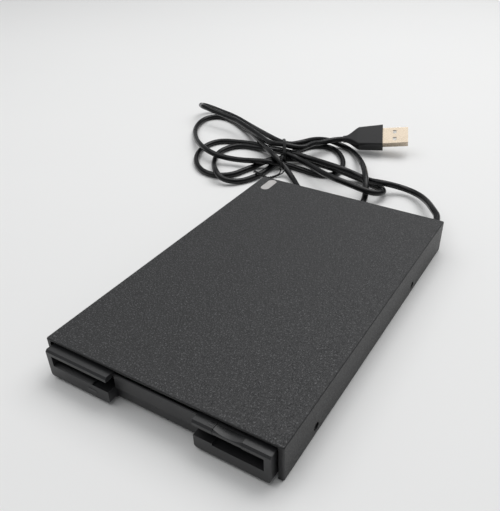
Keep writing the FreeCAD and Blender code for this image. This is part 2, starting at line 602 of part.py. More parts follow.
# inclined slots that drive the cradle down as the slider moves to the front
for y in (-55.0, 5.0):
    pocket(b, "YZ_Plane", lambda s: poly(s, [(y - 0.85, 10.45), (y - 0.35, 10.85), (y + 0.95, 10.5), (y + 5.85, 8.55),
                                             (y + 5.85, 7.35), (y + 4.6, 7.15), (y - 0.85, 9.3)]), -50, 50)
# rear tabs that the springs push on
pad(b, "XY_Plane", lambda s: (rect(s, -46.7, -43.6, 15.5, 16), rect(s, 43.6, 46.7, 15.5, 16)), 10.9, "@slider_top - 0.1")
# tab that carries the eject button
pad(b, "XY_Plane", lambda s: rect(s, 29.5, 35.5, -77.9, -68.9), "@slider_top - 0.45", "@slider_top")
keep(b, "slider_plate")

# Eject button: scooped top, hollow at the back where it grips the slider's tab.
b = body("eject_button")
pad(b, "YZ_Plane", lambda s: poly(s, [(-81.7, 11.95), (-77.62, 11.95), (-77.62, 13.9), (-81.0, 13.9), (-81.7, 13.1)]),
    "@button_left + @gap_fine", "@button_right - @gap_fine")
pad(b, "XY_Plane", lambda s: rect(s, 28.4, 36.6, -78, -75.9), 12.05, 13.3)
pocket(b, "XZ_Plane", lambda s: rect(s, 29.45, 35.55, "@slider_top - 0.5", "@slider_top + 0.02"), -78.3, -75)
# finger scoop: a wide shallow groove across the top front edge
scoop = b.newObject("PartDesign::SubtractiveCylinder", uid("Scoop"))
scoop.Radius = 26.0
scoop.Height = 7.0
scoop.Angle = 360
scoop.AttachmentSupport = [(plane(b, "XZ_Plane"), "")]
scoop.MapMode = "FlatFace"
scoop.AttachmentOffset = Placement(V(32.5, 39.25, 78.6), Rotation())
b.Tip = scoop
doc.recompute()
keep(b, "eject_button")

# Two compression springs between the frame's lugs and the slider's rear tabs push the slider to the front.
springs = [helix_spring(sx * 45.0, 16.15, 11.75, 0.78, 0.22, 11, 1.24, "y") for sx in (-1, 1)]
feature(Part.makeCompound(springs), "slider_springs")

# ============================================================ SHUTTER LEVER
ang = math.radians(-2.0)
LX, LY, LR = -40.0, -12.0, 28.0
tip = V(LX + LR * math.cos(ang), LY + LR * math.sin(ang), 0)
lev = [cyl(LX, LY, 12.6, 2.6, 0.55), cyl(tip.x, tip.y, 12.6, 1.7, 0.55)]
t = doc.addObject("Part::Box", uid("Lever"))
t.Length, t.Width, t.Height = LR, 2.6, 0.55
q = Rotation(V(0, 0, 1), math.degrees(ang))
t.Placement = Placement(V(LX, LY, 12.6) + q.multVec(V(0, -1.3, 0)), q)
lev.append(t)
lev.append(cyl(tip.x, tip.y, 8.3, 0.95, 4.4))
lev.append(cyl(LX, LY, 12.06, 1.2, 0.6))
keep(fuse(*lev), "shutter_lever")
feature(helix_spring(LX, LY, 13.24, 1.3, 0.15, 1.1, 0.25, "z"), "lever_spring")

# ============================================================ HEAD POSITIONER
hy = "@head_y"
keep(group(*[cyl(sx * val("@rod_x"), -3, "@rod_z", "@rod_rad", 50.2, "y") for sx in (-1, 1)]), "guide_rods")
clips = []
for sx in (-1, 1):
    for y0 in (-4.6, 44.4):
        c = box(sx * 10 - 1.9, sx * 10 + 1.9, y0, y0 + 2.6, 3.6, 6.3 if y0 > 0 else 5.88)
        clips.append(cut(c, cyl(sx * 10, y0 - 1, 4.9, "@rod_rad", 5, "y"), box(sx * 10 - 0.85, sx * 10 + 0.85, y0 - 1, y0 + 4, 4.9, 8)))
keep(group(*clips), "rod_clips")

b = body("head_carriage")
# low nose under the disk, tall rear block, follower arm to the lead screw
pad(b, "XY_Plane", lambda s: poly(s, [(-4.6, 4.8), (4.6, 4.8), (4.6, 14), (12.2, 20), (12.2, 43.6), (-12.2, 43.6), (-12.2, 20), (-4.6, 14)]), 3.85, 5.85)
pad(b, "XY_Plane", lambda s: rect(s, -12.2, 12.2, 31.3, 43.6), 5.8, 7.2)
pad(b, "XY_Plane", lambda s: (rect(s, -6.6, -3.4, 36.5, 43.6), rect(s, 3.4, 6.6, 36.5, 43.6)), 7.1, 12.2)
pad(b, "XY_Plane", lambda s: rect(s, -21.6, -12.0, 31.3, 33.1), 5.8, 7.2)
pad(b, "XY_Plane", lambda s: rect(s, -21.6, -16.4, 31.3, 33.1), 7.1, 10.9)
pocket(b, "XZ_Plane", lambda s: circle(s, "@screw_x", "@screw_z", "@screw_rad + 0.06"), 30, 35)
pocket(b, "XZ_Plane", lambda s: (circle(s, "@rod_x", "@rod_z", "@rod_rad + 0.04"), circle(s, "-@rod_x", "@rod_z", "@rod_rad + 0.04")), 10, 45)
pocket(b, "XY_Plane", lambda s: rect(s, -5, 5, 18, 29), 3, 7)
pocket(b, "YZ_Plane", lambda s: circle(s, 41.6, 10.9, 0.75), -8, 8)
keep(b, "head_carriage")
keep(fuse(box(-3.1, 3.1, 6.4, 11.6, 5.85, 6.6), box(-2.3, 2.3, 7.2, 10.8, 6.6, 7.45)), "lower_head")

b = body("head_arm")
pad(b, "XY_Plane", lambda s: poly(s, [(-3.6, 5.6), (3.6, 5.6), (5.2, 20), (5.2, 31), (3.1, 33), (3.1, 43), (-3.1, 43), (-3.1, 33), (-5.2, 31), (-5.2, 20)]), 12.35, 13.2)
pad(b, "XY_Plane", lambda s: rect(s, -3.1, 3.1, 40.2, 43.0), 10.1, 12.45)
pad(b, "YZ_Plane", lambda s: circle(s, 41.6, 10.9, 0.7), -6.4, 6.4)
keep(b, "head_arm")
keep(fuse(box(-2.4, 2.4, 7.0, 11.0, 11.95, 12.35)), "upper_head")
feature(wound_spring(0, 36.4, 7.45, 1.35, 0.3, 4, 0.95, "z"), "arm_spring")

# Stepper motor with its lead screw and the bracket at the screw's far end.
keep(cut(fuse(cyl("@screw_x", 34.0, "@screw_z", "@stepper_rad", 12.5, "y"), box(-25.5, -12.9, 33.3, 34.0, 3.65, 13.3)),
         cyl("@screw_x", 33, "@screw_z", "@screw_rad - 0.35 + 0.04", 15, "y")), "stepper_motor")
thread = [cyl("@screw_x", 14.8, "@screw_z", "@screw_rad - 0.35", 30.4, "y"), cyl("@screw_x", 16.2, "@screw_z", "@screw_rad", 16.8, "y")]
keep(fuse(*thread), "lead_screw")
keep(cut(fuse(box(-22.0, -16.0, 14.4, 15.9, 3.6, 11.0), box(-22.0, -16.0, 14.4, 18.0, 3.6, 4.3)),
         cyl("@screw_x", 14, "@screw_z", "@screw_rad - 0.35 + 0.04", 4, "y")), "screw_bracket")

# Flat head cable from the carriage to the control board.
keep(fuse(box(12.2, 13.4, 34, 40, 5.9, 6.15), box(13.4, 13.65, 34, 40, 3.75, 6.15), box(13.4, 18.5, 34, 40, 3.62, 3.85)), "head_cable")

# ============================================================ DISK SWITCHES
sw = []
for x in (-38.6, 38.6, -33.0):
    sw.append(cut(box(x - 2.0, x + 2.0, -70.6, -66.6, 3.6, 5.5), cyl(x, -68.6, 3.9, 1.0, 3)))
keep(group(*sw), "switch_bodies")
for x, nm in ((38.6, "write_protect_plunger"), (-38.6, "density_plunger"), (-33.0, "disk_in_plunger")):
    keep(fuse(cyl(x, -68.6, 4.75, 0.94, 1.7), cone(x, -68.6, 6.45, 0.94, 0.5, 0.35)), nm)

# ============================================================ USB BRIDGE BOARD
bl = "@bridge_low"
bt = "@bridge_low + @bridge_thick"
bridge = cut(box(-48.2, 47.6, 51.0, 79.0, bl, bt), cyl(-33, 74, 2, 3.3, 4), cyl(34, 74, 2, 3.3, 4))
keep(bridge, "bridge_board")
chips = [box(-6, 6, 58, 70, bt, "@bridge_low + @bridge_thick + 1.5"), box(14, 24, 60, 70, bt, "@bridge_low + @bridge_thick + 1.4")]
legs = []
for k in range(10):
    legs.append(box(-7.2, 7.2, 59.0 + k * 1.1, 59.4 + k * 1.1, bt, "@bridge_low + @bridge_thick + 0.25"))
    legs.append(box(12.9, 25.1, 60.4 + k * 0.96, 60.75 + k * 0.96, bt, "@bridge_low + @bridge_thick + 0.25"))
keep(group(fuse(chips[0], *[l for i, l in enumerate(legs) if i % 2 == 0]),
           fuse(chips[1], *[l for i, l in enumerate(legs) if i % 2 == 1])), "board_chips")
crystal = fuse(box(-22, -12, 60, 64.2, bt, "@bridge_low + @bridge_thick + 0.5"), box(-21.3, -12.7, 60.6, 63.6, bt, "@bridge_low + @bridge_thick + 3.4"))
keep(group(crystal, *[cyl(x, y, bt, r, 5.4) for x, y, r in ((-26, 57.5, 2.5), (-38, 61, 3.1), (30, 58.5, 2.5))]), "board_components")
keep(fuse(box(-48.0 + 2.3, -48.0 + 6.3, 72.4, 75.7, bt, "@bridge_low + @bridge_thick + 1.1")), "status_led")
keep(group(box(24, 42, 42.6, 46.6, 3.6, 5.3), box(24, 42, 51.6, 55.4, bt, "@bridge_low + @bridge_thick + 1.7")), "ribbon_sockets")
b = body("ribbon_cable")
pad(b, "YZ_Plane", lambda s: poly(s, [(46.6, 4.3), (48.2, 5.0), (50.2, 5.5), (51.6, 5.2), (51.6, 5.45), (50.2, 5.75), (48.1, 5.25), (46.6, 4.55)]), 25.5, 40.5)
keep(b, "ribbon_cable")
keep(cut(box(36.6, 44.4, 62.4, 68.0, bt, 9.6), box(37.4, 43.6, 64.6, 69, 5.4, 8.8)), "cord_socket")
wires = []
for k in range(4):
    a = V(38.0 + k * 1.45, 66.0, 7.1)
    z = V(44.7 + 0.62 * k, 78.35, 8.6 + 0.35 * k)
    c = Part.makeCylinder(0.38, (z - a).Length, a, z - a)
    wires.append(c)
feature(Part.makeCompound(wires), "lead_wires")

# Translucent light pipe: pill-shaped head in the lid, flange under it, stem to the indicator.
b = body("light_pipe")
pad(b, "XY_Plane", lambda s: slot(s, "@window_x", "@window_y", "@window_half", "@window_rad - 0.06"), 13.9, "@shell_top - 0.03")
pad(b, "XY_Plane", lambda s: slot(s, "@window_x", "@window_y - 1.15", "@window_half - 0.4", "@window_rad + 0.9"), 13.3, 14.45)
pad(b, "XY_Plane", lambda s: rect(s, -45.4, -42.0, 72.4, 75.7), 5.9, 13.5)
keep(b, "light_pipe")

# Activity indicator: small lamp behind the bezel with a light guide to the top of the lip.
keep(fuse(box(24.9, 26.3, -80.3, -75.2, 12.5, 13.4), box(24.9, 26.3, -80.3, -78.8, 13.3, 14.03)), "activity_lens")
keep(box(24.7, 26.5, -75.1, -73.6, 12.3, 13.5), "activity_led")

# ============================================================ CORD EXIT GLAND
gx, gz = "@gland_x", "@gland_z"
gl = [cyl(gx, 78.6, gz, 3.7, 1.13, "y"), cyl(gx, 79.6, gz, "@gland_rad - 0.02", 2.3, "y"), cyl(gx, 81.77, gz, 3.6, 1.3, "y"),
      cone(gx, 83.0, gz, 3.0, 2.3, 6.0, "y")]
keep(fuse(*gl), "cord_gland")

# ============================================================ CORD
DC = D["cord_dia"]


def rounded_path(pts):
    """Straight runs joined by tangent arcs; each arc as large as its two runs allow."""
    edges, radii = [], []
    prev = pts[0]
    for i in range(1, len(pts) - 1):
        p, a, c = pts[i], pts[i - 1], pts[i + 1]
        u, w = (p - a), (c - p)
        lu, lw = u.Length, w.Length
        u, w = u * (1.0 / lu), w * (1.0 / lw)
        turn = math.acos(max(-1.0, min(1.0, u.dot(w))))
        t = 0.45 * min(lu, lw)
        r = t / math.tan(turn / 2.0)
        radii.append(round(r, 1))
        s0, s1 = p - u * t, p + w * t
        bis = (w - u)
        bis.normalize()
        centre = p + bis * (r / math.cos(turn / 2.0))
        mid = centre - bis * r
        edges.append(Part.LineSegment(prev, s0).toShape())
        edges.append(Part.Arc(s0, mid, s1).toShape())
        prev = s1
    edges.append(Part.LineSegment(prev, pts[-1]).toShape())
    return edges, radii


def tube(pts, dia, label):
    edges, radii = rounded_path(pts)
    wire = Part.Wire(edges)
    d = (pts[1] - pts[0])
    d.normalize()
    ring = Part.Wire([Part.Circle(pts[0], d, dia / 2.0).toShape()])
    solid = wire.makePipeShell([ring], True, False)
    if solid.Volume < 0:
        solid.reverse()
    want = math.pi * dia * dia / 4.0 * wire.Length
    print("%s: radii %s, length %.1f, volume %.1f of %.1f" % (label, radii, wire.Length, solid.Volume, want))
    if abs(solid.Volume - want) > 0.02 * want:
        raise RuntimeError("tube volume of " + label)
    return solid, wire.Length


LEAD = [V(45.6, 89.0, 9.2), V(45.6, 98.5, 9.2), V(38.0, 113.5, 4.2), V(30.5, 126.5, 1.9), V(17.5, 131.8, 2.6), V(7.5, 127.2, 5.4), V(-1.2, 125.9, 6.1)]
lead_solid, lead_len = tube(LEAD, DC, "cord_lead")
feature(lead_solid, "cord_lead")

TAIL = [V(-75.2, 133.8, 12.2), V(-60.2, 139.3, 10.8), V(-58.4, 166.5, 6.1), V(-43.5, 171.92, 7.77)]
tail_solid, tail_len = tube(TAIL, DC, "cord_tail")
feature(tail_solid, "cord_tail")


def prism(pts, z0, z1):
    vs = [V(x, y, z0) for x, y in pts]
    s = Part.Face(Part.makePolygon(vs + [vs[0]])).extrude(V(0, 0, z1 - z0))
    if s.Volume < 0:
        s.reverse()
    return s


# Outer shape of the tied hank in three layers: what lies on the table, the
# strands crossing over it, and the ones on top.
LOW_1 = [(8.2, 117.2), (6.1, 125.2), (-0.4, 131.7), (-14, 134.6), (-25.2, 132.6), (-27.4, 134.4), (-27.9, 141.6), (-31.5, 151.6), (-38.8, 162.2),
        (-46.8, 169.6), (-44.4, 171.7), (-39.2, 169.3), (-32, 162.2), (-23.2, 149), (-20.8, 148.7), (-19.5, 151.2), (-29.4, 166), (-37.2, 173.3),
        (-44, 176.2), (-51.6, 175.3), (-65.2, 164.6), (-68.9, 156.4), (-70.7, 142.8), (-72.8, 140.8), (-83.2, 147.3), (-95.8, 150.4),
        (-107.7, 162.8), (-106.3, 165.2), (-106.8, 167.3), (-132.4, 184.5), (-148.8, 191.3), (-158, 190.9), (-165, 187.2), (-164.4, 184.3),
        (-162.8, 183.9), (-153.6, 187.4), (-149.2, 186.9), (-147.2, 184.8), (-156.5, 178), (-159, 168.4), (-155.7, 155.6), (-146, 140.2),
        (-127.6, 121), (-121.7, 108), (-113.6, 98.6), (-104.4, 93.1), (-94.8, 92.1), (-91.6, 89.1), (-85.2, 87), (-78.2, 89.6), (-71.5, 98.4),
        (-68.6, 107.2), (-68.1, 119.2), (-65.6, 121.6), (-62.4, 118.3), (-57.2, 116.1), (-50.8, 111), (-37.4, 96.8), (-28.4, 91.5), (-21.6, 89.8),
        (-12, 90.3), (-5.6, 92.7), (-0.7, 97.6), (1.4, 103.2), (0.9, 114), (-2.8, 118.9), (-4.8, 118.9), (-6.1, 117.2), (-3, 107.6), (-3.1, 103.2),
        (-4.8, 99.4), (-10.8, 95.1), (-21.6, 94.2), (-33.4, 99.2), (-50, 116.2), (-60.8, 123.4), (-59.2, 126.1), (-41.2, 124.2), (-33.6, 125.9),
        (-28.8, 129.7), (-23.6, 128.2), (-14.8, 130.2), (-10.4, 129.8), (-3.2, 128.1), (1.4, 124.4), (3.7, 119.6), (2.7, 114.8), (4, 113.5),
        (7, 113.6)]
LOW_HOLE_1 = [(-102.4, 151.6), (-104.4, 149.5), (-118.4, 145.7), (-123.4, 142.8), (-126.5, 138.4), (-128.3, 131.6), (-130.4, 129.6), (-145.2, 146.2),
        (-152.3, 159.2), (-154.6, 168.4), (-153.7, 174), (-149.6, 178.1), (-144, 178.2), (-136.4, 175.7), (-124.4, 168.9)]
LOW_HOLE_2 = [(-72.4, 134.8), (-73.1, 126.8), (-81.6, 119.5), (-93.2, 118.5), (-104.8, 114.8), (-107.3, 117.2), (-109.4, 122.8), (-109.8, 129.2),
        (-108.5, 133.6), (-104.8, 138.6), (-101.6, 140.1), (-92.8, 140.6), (-77.6, 135.1), (-74.4, 136.8)]
LOW_HOLE_3 = [(-31.8, 138), (-34.4, 135.1), (-52.8, 142.2), (-58, 142.1), (-64.8, 138.6), (-66.6, 141.2), (-64.2, 156.8), (-61.8, 161.6),
        (-56.4, 165.7), (-48.4, 164.5), (-37.5, 153.2), (-33.1, 144)]
LOW_HOLE_4 = [(-101.6, 99.6), (-103.6, 97.6), (-110, 101.4), (-116.9, 108.8), (-122.5, 119.6), (-123.8, 124.8), (-123.7, 132.8), (-121.7, 138),
        (-118, 141.1), (-111.2, 143.3), (-108.8, 141.2), (-113.7, 132), (-114.2, 124.4), (-109.3, 111.6)]
LOW_HOLE_5 = [(-83.8, 112.4), (-87.9, 101.2), (-91.6, 97.9), (-93.6, 97.4), (-98.9, 103.6), (-102.8, 109.6), (-100.4, 112.1), (-88, 115),
        (-86, 114.9)]
LOW_HOLE_6 = [(-72.6, 116.4), (-73.5, 105.2), (-77.9, 96.4), (-81.6, 92.7), (-84.8, 91.5), (-87, 92), (-88.6, 94.4), (-82.3, 102.4), (-77.6, 117),
        (-74.8, 119.6)]
LOW_HOLE_7 = [(-38.7, 131.2), (-41.2, 128.6), (-60, 130.6), (-62.4, 132.8), (-61.5, 134.4), (-57.6, 137.7), (-53.2, 137.8), (-41.6, 133.7)]
MID_1 = [(8.2, 117.2), (7.3, 122.8), (4.2, 128), (-4.8, 129.1), (-8.8, 131.8), (-22.3, 156), (-29.2, 164.9), (-31.6, 164.2), (-31.7, 161.6),
        (-16.3, 136.8), (-17.8, 134), (-28, 132.7), (-47.2, 140.6), (-51.6, 138), (-58, 138.3), (-60.4, 140.2), (-64.4, 139.1), (-66.5, 141.2),
        (-65.8, 147.6), (-66.8, 149.3), (-69.4, 149.2), (-70.8, 143.8), (-72.8, 141.9), (-74.4, 142.3), (-77.6, 144.2), (-80.4, 148.1),
        (-124, 179.3), (-126.4, 178.6), (-126.9, 176.4), (-117, 168.8), (-118.8, 166.4), (-138, 175.7), (-159.6, 181.1), (-161.6, 183.2),
        (-159.8, 185.2), (-150.7, 188.4), (-150.7, 190.4), (-152.8, 191.8), (-158, 190.9), (-167.4, 186.4), (-169.4, 182.8), (-167.8, 179.2),
        (-147.2, 174.1), (-125.6, 165.3), (-96.2, 146), (-83.4, 133.2), (-75.9, 125.6), (-81.6, 119.5), (-108.8, 115.8), (-118, 119.5),
        (-123.8, 123.6), (-141.6, 141.3), (-143.6, 141.3), (-144.6, 140), (-141, 134), (-127.4, 120.8), (-116.8, 113.9), (-107.6, 111),
        (-106, 109.2), (-106.1, 106.4), (-98.8, 96.2), (-91.8, 89.2), (-87.6, 87.4), (-79.6, 88.7), (-77.9, 90.4), (-78.3, 92.4), (-80, 93.4),
        (-85.2, 91.4), (-89.6, 93.1), (-97.6, 101.8), (-102.6, 110), (-100.4, 112.1), (-91.2, 114.5), (-75.6, 115.5), (-67.2, 120), (-51.2, 112.7),
        (-49.9, 113.6), (-50.3, 116.4), (-61.6, 124.4), (-57.6, 128.4), (-48, 124.5), (-31.2, 113), (-29.2, 113.4), (-28.3, 115.6), (-43.2, 126.6),
        (-45.2, 128.8), (-43.6, 130.6), (-26.8, 125.8), (-16.8, 127.4), (-12.4, 126.9), (-9.9, 124.4), (-5.2, 114.4), (-8, 111.9), (-14.8, 111),
        (-15.8, 108.8), (-14, 107), (-4, 108.2), (-0.4, 106.7), (6.4, 112.6)]
MID_2 = [(-43.8, 174), (-44.8, 176.1), (-48.8, 176.2), (-55.4, 172), (-58.5, 166), (-61, 156.4), (-59.6, 154.3), (-57.2, 155), (-52.5, 168.4),
        (-49.6, 171.3), (-44.8, 172.3)]
MID_HOLE_1 = [(3.8, 118.4), (3.3, 116), (1.2, 114), (-2.8, 119.8), (-3.3, 121.6), (-1.8, 123.2), (0.8, 123.3), (3.3, 120.8)]
TOP_1 = [(1.8, 111.2), (-1.3, 115.2), (-7.1, 128.8), (-16.8, 146.1), (-19.2, 146.1), (-20.2, 144), (-14.8, 133.6), (-16.8, 131.6), (-22, 130.3),
        (-28.8, 130.7), (-46, 136.2), (-47.4, 133.6), (-45.6, 131.2), (-49.2, 128.4), (-52.8, 131.7), (-59.6, 133.1), (-61.4, 134.8), (-60.2, 138),
        (-62, 140.8), (-59.5, 144.8), (-52.7, 168.4), (-54, 170.5), (-56, 170.5), (-57.7, 168), (-63.1, 147.6), (-67.2, 142.7), (-71.2, 142.7),
        (-75.2, 144.7), (-96, 159.3), (-98, 159.3), (-101.2, 154.8), (-119.2, 166.5), (-121.8, 166), (-122, 163.4), (-90.2, 141.2), (-78, 127.8),
        (-68, 120.3), (-60.8, 117.8), (-58.7, 120.4), (-60, 122.1), (-70.4, 127), (-72.8, 129.6), (-70.4, 131.7), (-60.4, 128.7), (-52, 128),
        (-29.2, 111.5), (-19.6, 107.1), (-2.8, 108.2), (0.4, 109.1)]
TOP_HOLE_1 = [(-5.1, 114.8), (-8.4, 111.8), (-21.2, 112.3), (-43, 126.4), (-45.2, 128.8), (-44, 130.2), (-42, 130.5), (-26.8, 125.8), (-20, 126.3),
        (-13.6, 129.7)]
TOP_2 = [(-154.6, 178.4), (-156.4, 180.5), (-162, 181.5), (-166, 185.7), (-168.4, 185.3), (-169.2, 183.4), (-168.1, 179.6), (-165.2, 177.9),
        (-156.4, 176.2)]


def layer(z0, z1, outlines, holes):
    s = prism(outlines[0], z0, z1)
    for o in outlines[1:]:
        s = s.fuse(prism(o, z0, z1))
    return s.cut([prism(h, z0 - 1, z1 + 1) for h in holes])


hank = layer(0.15, 4.9, (LOW_1,), (LOW_HOLE_1, LOW_HOLE_2, LOW_HOLE_3, LOW_HOLE_4, LOW_HOLE_5, LOW_HOLE_6, LOW_HOLE_7))
hank = hank.fuse([layer(4.5, 9.0, (MID_1, MID_2), (MID_HOLE_1,)), layer(8.6, 14.2, (TOP_1, TOP_2), (TOP_HOLE_1,))]).removeSplitter()
if len(hank.Solids) != 1:
    raise RuntimeError("hank has %d solids" % len(hank.Solids))
# seats for the incoming and the outgoing run of the cord
hank = hank.cut([lead_solid, tail_solid])

# Twist tie: a flat covered wire bent round the waist of the hank, with a
# twisted tail that comes down in front of it and ends in a hook.
TIE_AT, TIE_H, TIE_N = V(-69.3, 137.2, 0), V(-0.5239, 0.8518, 0), V(0.8518, 0.5239, 0)
WAIST = [(-0.5, 3.04), (1.3, 3.27), (5.0, 10.7), (-1.7, 12.15), (-6.4, 7.9), (-7.25, 4.6), (-6.3, 4.1)]


def belt(r):
    """Face of the waist's outline grown by r, in the tie's plane."""
    def at(h, z):
        return TIE_AT + TIE_H * h + V(0, 0, z) - TIE_N * 0.95
    n = len(WAIST)
    turn = []
    for i in range(n):
        (a, b), (c, d) = WAIST[i], WAIST[(i + 1) % n]
        turn.append(math.atan2(-(c - a), d - b))
    edges = []
    for i in range(n):
        h, z = WAIST[i]
        a0, a1 = turn[i - 1], turn[i]
        while a1 < a0:
            a1 += 2 * math.pi
        am = (a0 + a1) / 2.0
        p = [at(h + r * math.cos(a), z + r * math.sin(a)) for a in (a0, am, a1)]
        edges.append(Part.Arc(*p).toShape())
        hn, zn = WAIST[(i + 1) % n]
        edges.append(Part.LineSegment(p[2], at(hn + r * math.cos(a1), zn + r * math.sin(a1))).toShape())
    return Part.Face(Part.Wire(edges))


tie_ring = belt(2.65).cut(belt(1.85)).Faces[0].extrude(TIE_N * 1.9)
if tie_ring.Volume < 0:
    tie_ring.reverse()
TIE = [V(-64.6, 129.8, 5.2), V(-63.6, 124.8, 9.5), V(-61.4, 119.4, 9.8), V(-59.4, 116.6, 4.4), V(-62.2, 112.6, 1.05), V(-66.0, 107.6, 1.2), V(-69.9, 105.0, 4.6), V(-73.4, 106.5, 4.2)]
tie_tail, _ = tube(TIE, 1.3, "twist_tie tail")
tie = tie_ring.fuse([tie_tail])
feature(tie, "twist_tie")

# ============================================================ USB PLUG
# Local frame of the plug: x along the plug to its open end, y across its width.
P0 = V(-43.5, 171.92, 7.77)
P1 = V(-4.18, 186.3, 12.28)
ax = (P1 - P0)
PL = ax.Length
ax.normalize()
side = ax.cross(V(0, 0, 1))
side.normalize()
up = side.cross(ax)
up.normalize()
ROLL = math.radians(-35.8)
wy = side * math.cos(ROLL) + up * math.sin(ROLL)
wz = ax.cross(wy)
m = FreeCAD.Matrix(ax.x, wy.x, wz.x, P0.x, ax.y, wy.y, wz.y, P0.y, ax.z, wy.z, wz.z, P0.z, 0, 0, 0, 1)
PLACE = Placement(m)
NOSE = PL - D["usb_length"]


def rrect(x, w, hgt, r):
    """Rounded rectangle wire in the plane at x."""
    y, z = w / 2.0, hgt / 2.0
    c = [(y - r, z - r, 0), (-(y - r), z - r, 90), (-(y - r), -(z - r), 180), (y - r, -(z - r), 270)]
    es, last, first = [], None, None
    for cy, cz, a in c:
        a0, a1, am = math.radians(a), math.radians(a + 90), math.radians(a + 45)
        p0 = V(x, cy + r * math.cos(a0), cz + r * math.sin(a0))
        pm = V(x, cy + r * math.cos(am), cz + r * math.sin(am))
        p1 = V(x, cy + r * math.cos(a1), cz + r * math.sin(a1))
        if last is not None and last.distanceToPoint(p0) > 1e-6:
            es.append(Part.LineSegment(last, p0).toShape())
        es.append(Part.Arc(p0, pm, p1).toShape())
        last = p1
        if first is None:
            first = p0
    es.append(Part.LineSegment(last, first).toShape())
    return Part.Wire(es)


grip = Part.makeLoft([rrect(0.0, 4.4, 4.4, 2.1), rrect(3.4, 5.6, 5.2, 2.3), rrect(7.0, 10.2, 7.0, 2.4), rrect(10.6, 14.0, 8.0, 1.6)], True, False)
block = Part.makeLoft([rrect(10.6, 14.0, 8.0, 1.6), rrect(NOSE, 15.4, 8.4, 1.0)], True, False)
pocket_in = Part.makeBox(6.0, D["usb_width"] + 0.04, D["usb_height"] + 0.04, V(NOSE - 5.0, -D["usb_width"] / 2.0 - 0.02, -D["usb_height"] / 2.0 - 0.02))
over = grip.fuse([block]).removeSplitter().cut(pocket_in)
o = feature(over, "usb_plug_overmold")
o.Placement = PLACE
grip_shape = over.copy()
grip_shape.Placement = PLACE
hank = hank.cut([tie, grip_shape])
pieces = sorted(hank.Solids, key=lambda q: -q.Volume)
print("hank pieces", [round(q.Volume, 1) for q in pieces])
if sum(q.Volume for q in pieces[1:]) > 0.02 * hank.Volume:
    raise RuntimeError("hank has %d solids" % len(pieces))
hank = pieces[0]
feature(hank, "cord_hank")
print("hank volume %.1f" % hank.Volume)
shell = rrect(NOSE - 4.8, D["usb_width"], D["usb_height"], 0.45)
hollow = rrect(NOSE - 3.0, D["usb_width"] - 0.6, D["usb_height"] - 0.6, 0.2)
sh = Part.Face(shell).extrude(V(D["usb_length"] + 4.8, 0, 0)).cut(Part.Face(hollow).extrude(V(D["usb_length"] + 6, 0, 0)))
for yy in (-2.6, 2.6):
    sh = sh.cut(Part.makeBox(2.2, 2.4, 12, V(NOSE + 6.6, yy - 1.2, -6)))
o = feature(sh, "usb_plug_shell")
o.Placement = PLACE
zt = -D["usb_height"] / 2.0 + 0.42
tongue = Part.makeBox(D["usb_length"] + 2.0, D["usb_width"] - 0.9, 1.84, V(NOSE - 2.9, -D["usb_width"] / 2.0 + 0.45, zt))
cts = []
for k, yy in enumerate((-3.5, -1.0, 1.0, 3.5)):
    long = k in (0, 3)
    cts.append(Part.makeBox(9.0 if long else 8.0, 1.0, 0.14, V(NOSE + D["usb_length"] - (10.4 if long else 10.4), yy - 0.5, zt + 1.84)))
o = feature(tongue.fuse(cts), "usb_plug_tongue")
o.Placement = PLACE

# ================================================================== EXPORT
doc.recompute()
for o in doc.Objects:
    if "Invalid" in o.State or "Error" in o.State:
        raise RuntimeError("object failed: %s (%s) %s" % (o.Name, o.Label, o.State))
os.makedirs("parts", exist_ok=True)
for o in PARTS:
    s = o.Shape
    if s.isNull() or not s.isValid():
        raise RuntimeError("bad shape: " + o.Label)
    if not s.Solids:
        raise RuntimeError("no solid: " + o.Label)
for o in PARTS:
    o.Shape.exportStep("parts/%s.step" % o.Label)
    bb = o.Shape.BoundBox
    print("%-24s solids %2d vol %9.1f  x %.2f..%.2f y %.2f..%.2f z %.2f..%.2f" % (
        o.Label, len(o.Shape.Solids), o.Shape.Volume, bb.XMin, bb.XMax, bb.YMin, bb.YMax, bb.ZMin, bb.ZMax))
print("%d parts" % len(PARTS))
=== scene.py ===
import math
import bpy
import bmesh
from mathutils import Vector, Matrix


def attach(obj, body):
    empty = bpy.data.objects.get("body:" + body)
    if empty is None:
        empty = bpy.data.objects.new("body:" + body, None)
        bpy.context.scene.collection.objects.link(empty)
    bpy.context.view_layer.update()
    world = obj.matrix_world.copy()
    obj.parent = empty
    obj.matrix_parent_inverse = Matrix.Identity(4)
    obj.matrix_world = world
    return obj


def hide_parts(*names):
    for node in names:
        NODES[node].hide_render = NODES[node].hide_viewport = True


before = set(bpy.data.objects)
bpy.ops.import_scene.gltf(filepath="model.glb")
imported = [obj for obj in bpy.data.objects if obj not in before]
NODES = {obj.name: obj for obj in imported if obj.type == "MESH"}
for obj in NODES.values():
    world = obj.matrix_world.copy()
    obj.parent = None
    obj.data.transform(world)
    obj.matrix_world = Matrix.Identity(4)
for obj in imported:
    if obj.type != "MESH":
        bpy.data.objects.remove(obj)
scene = bpy.context.scene
MM = 0.001

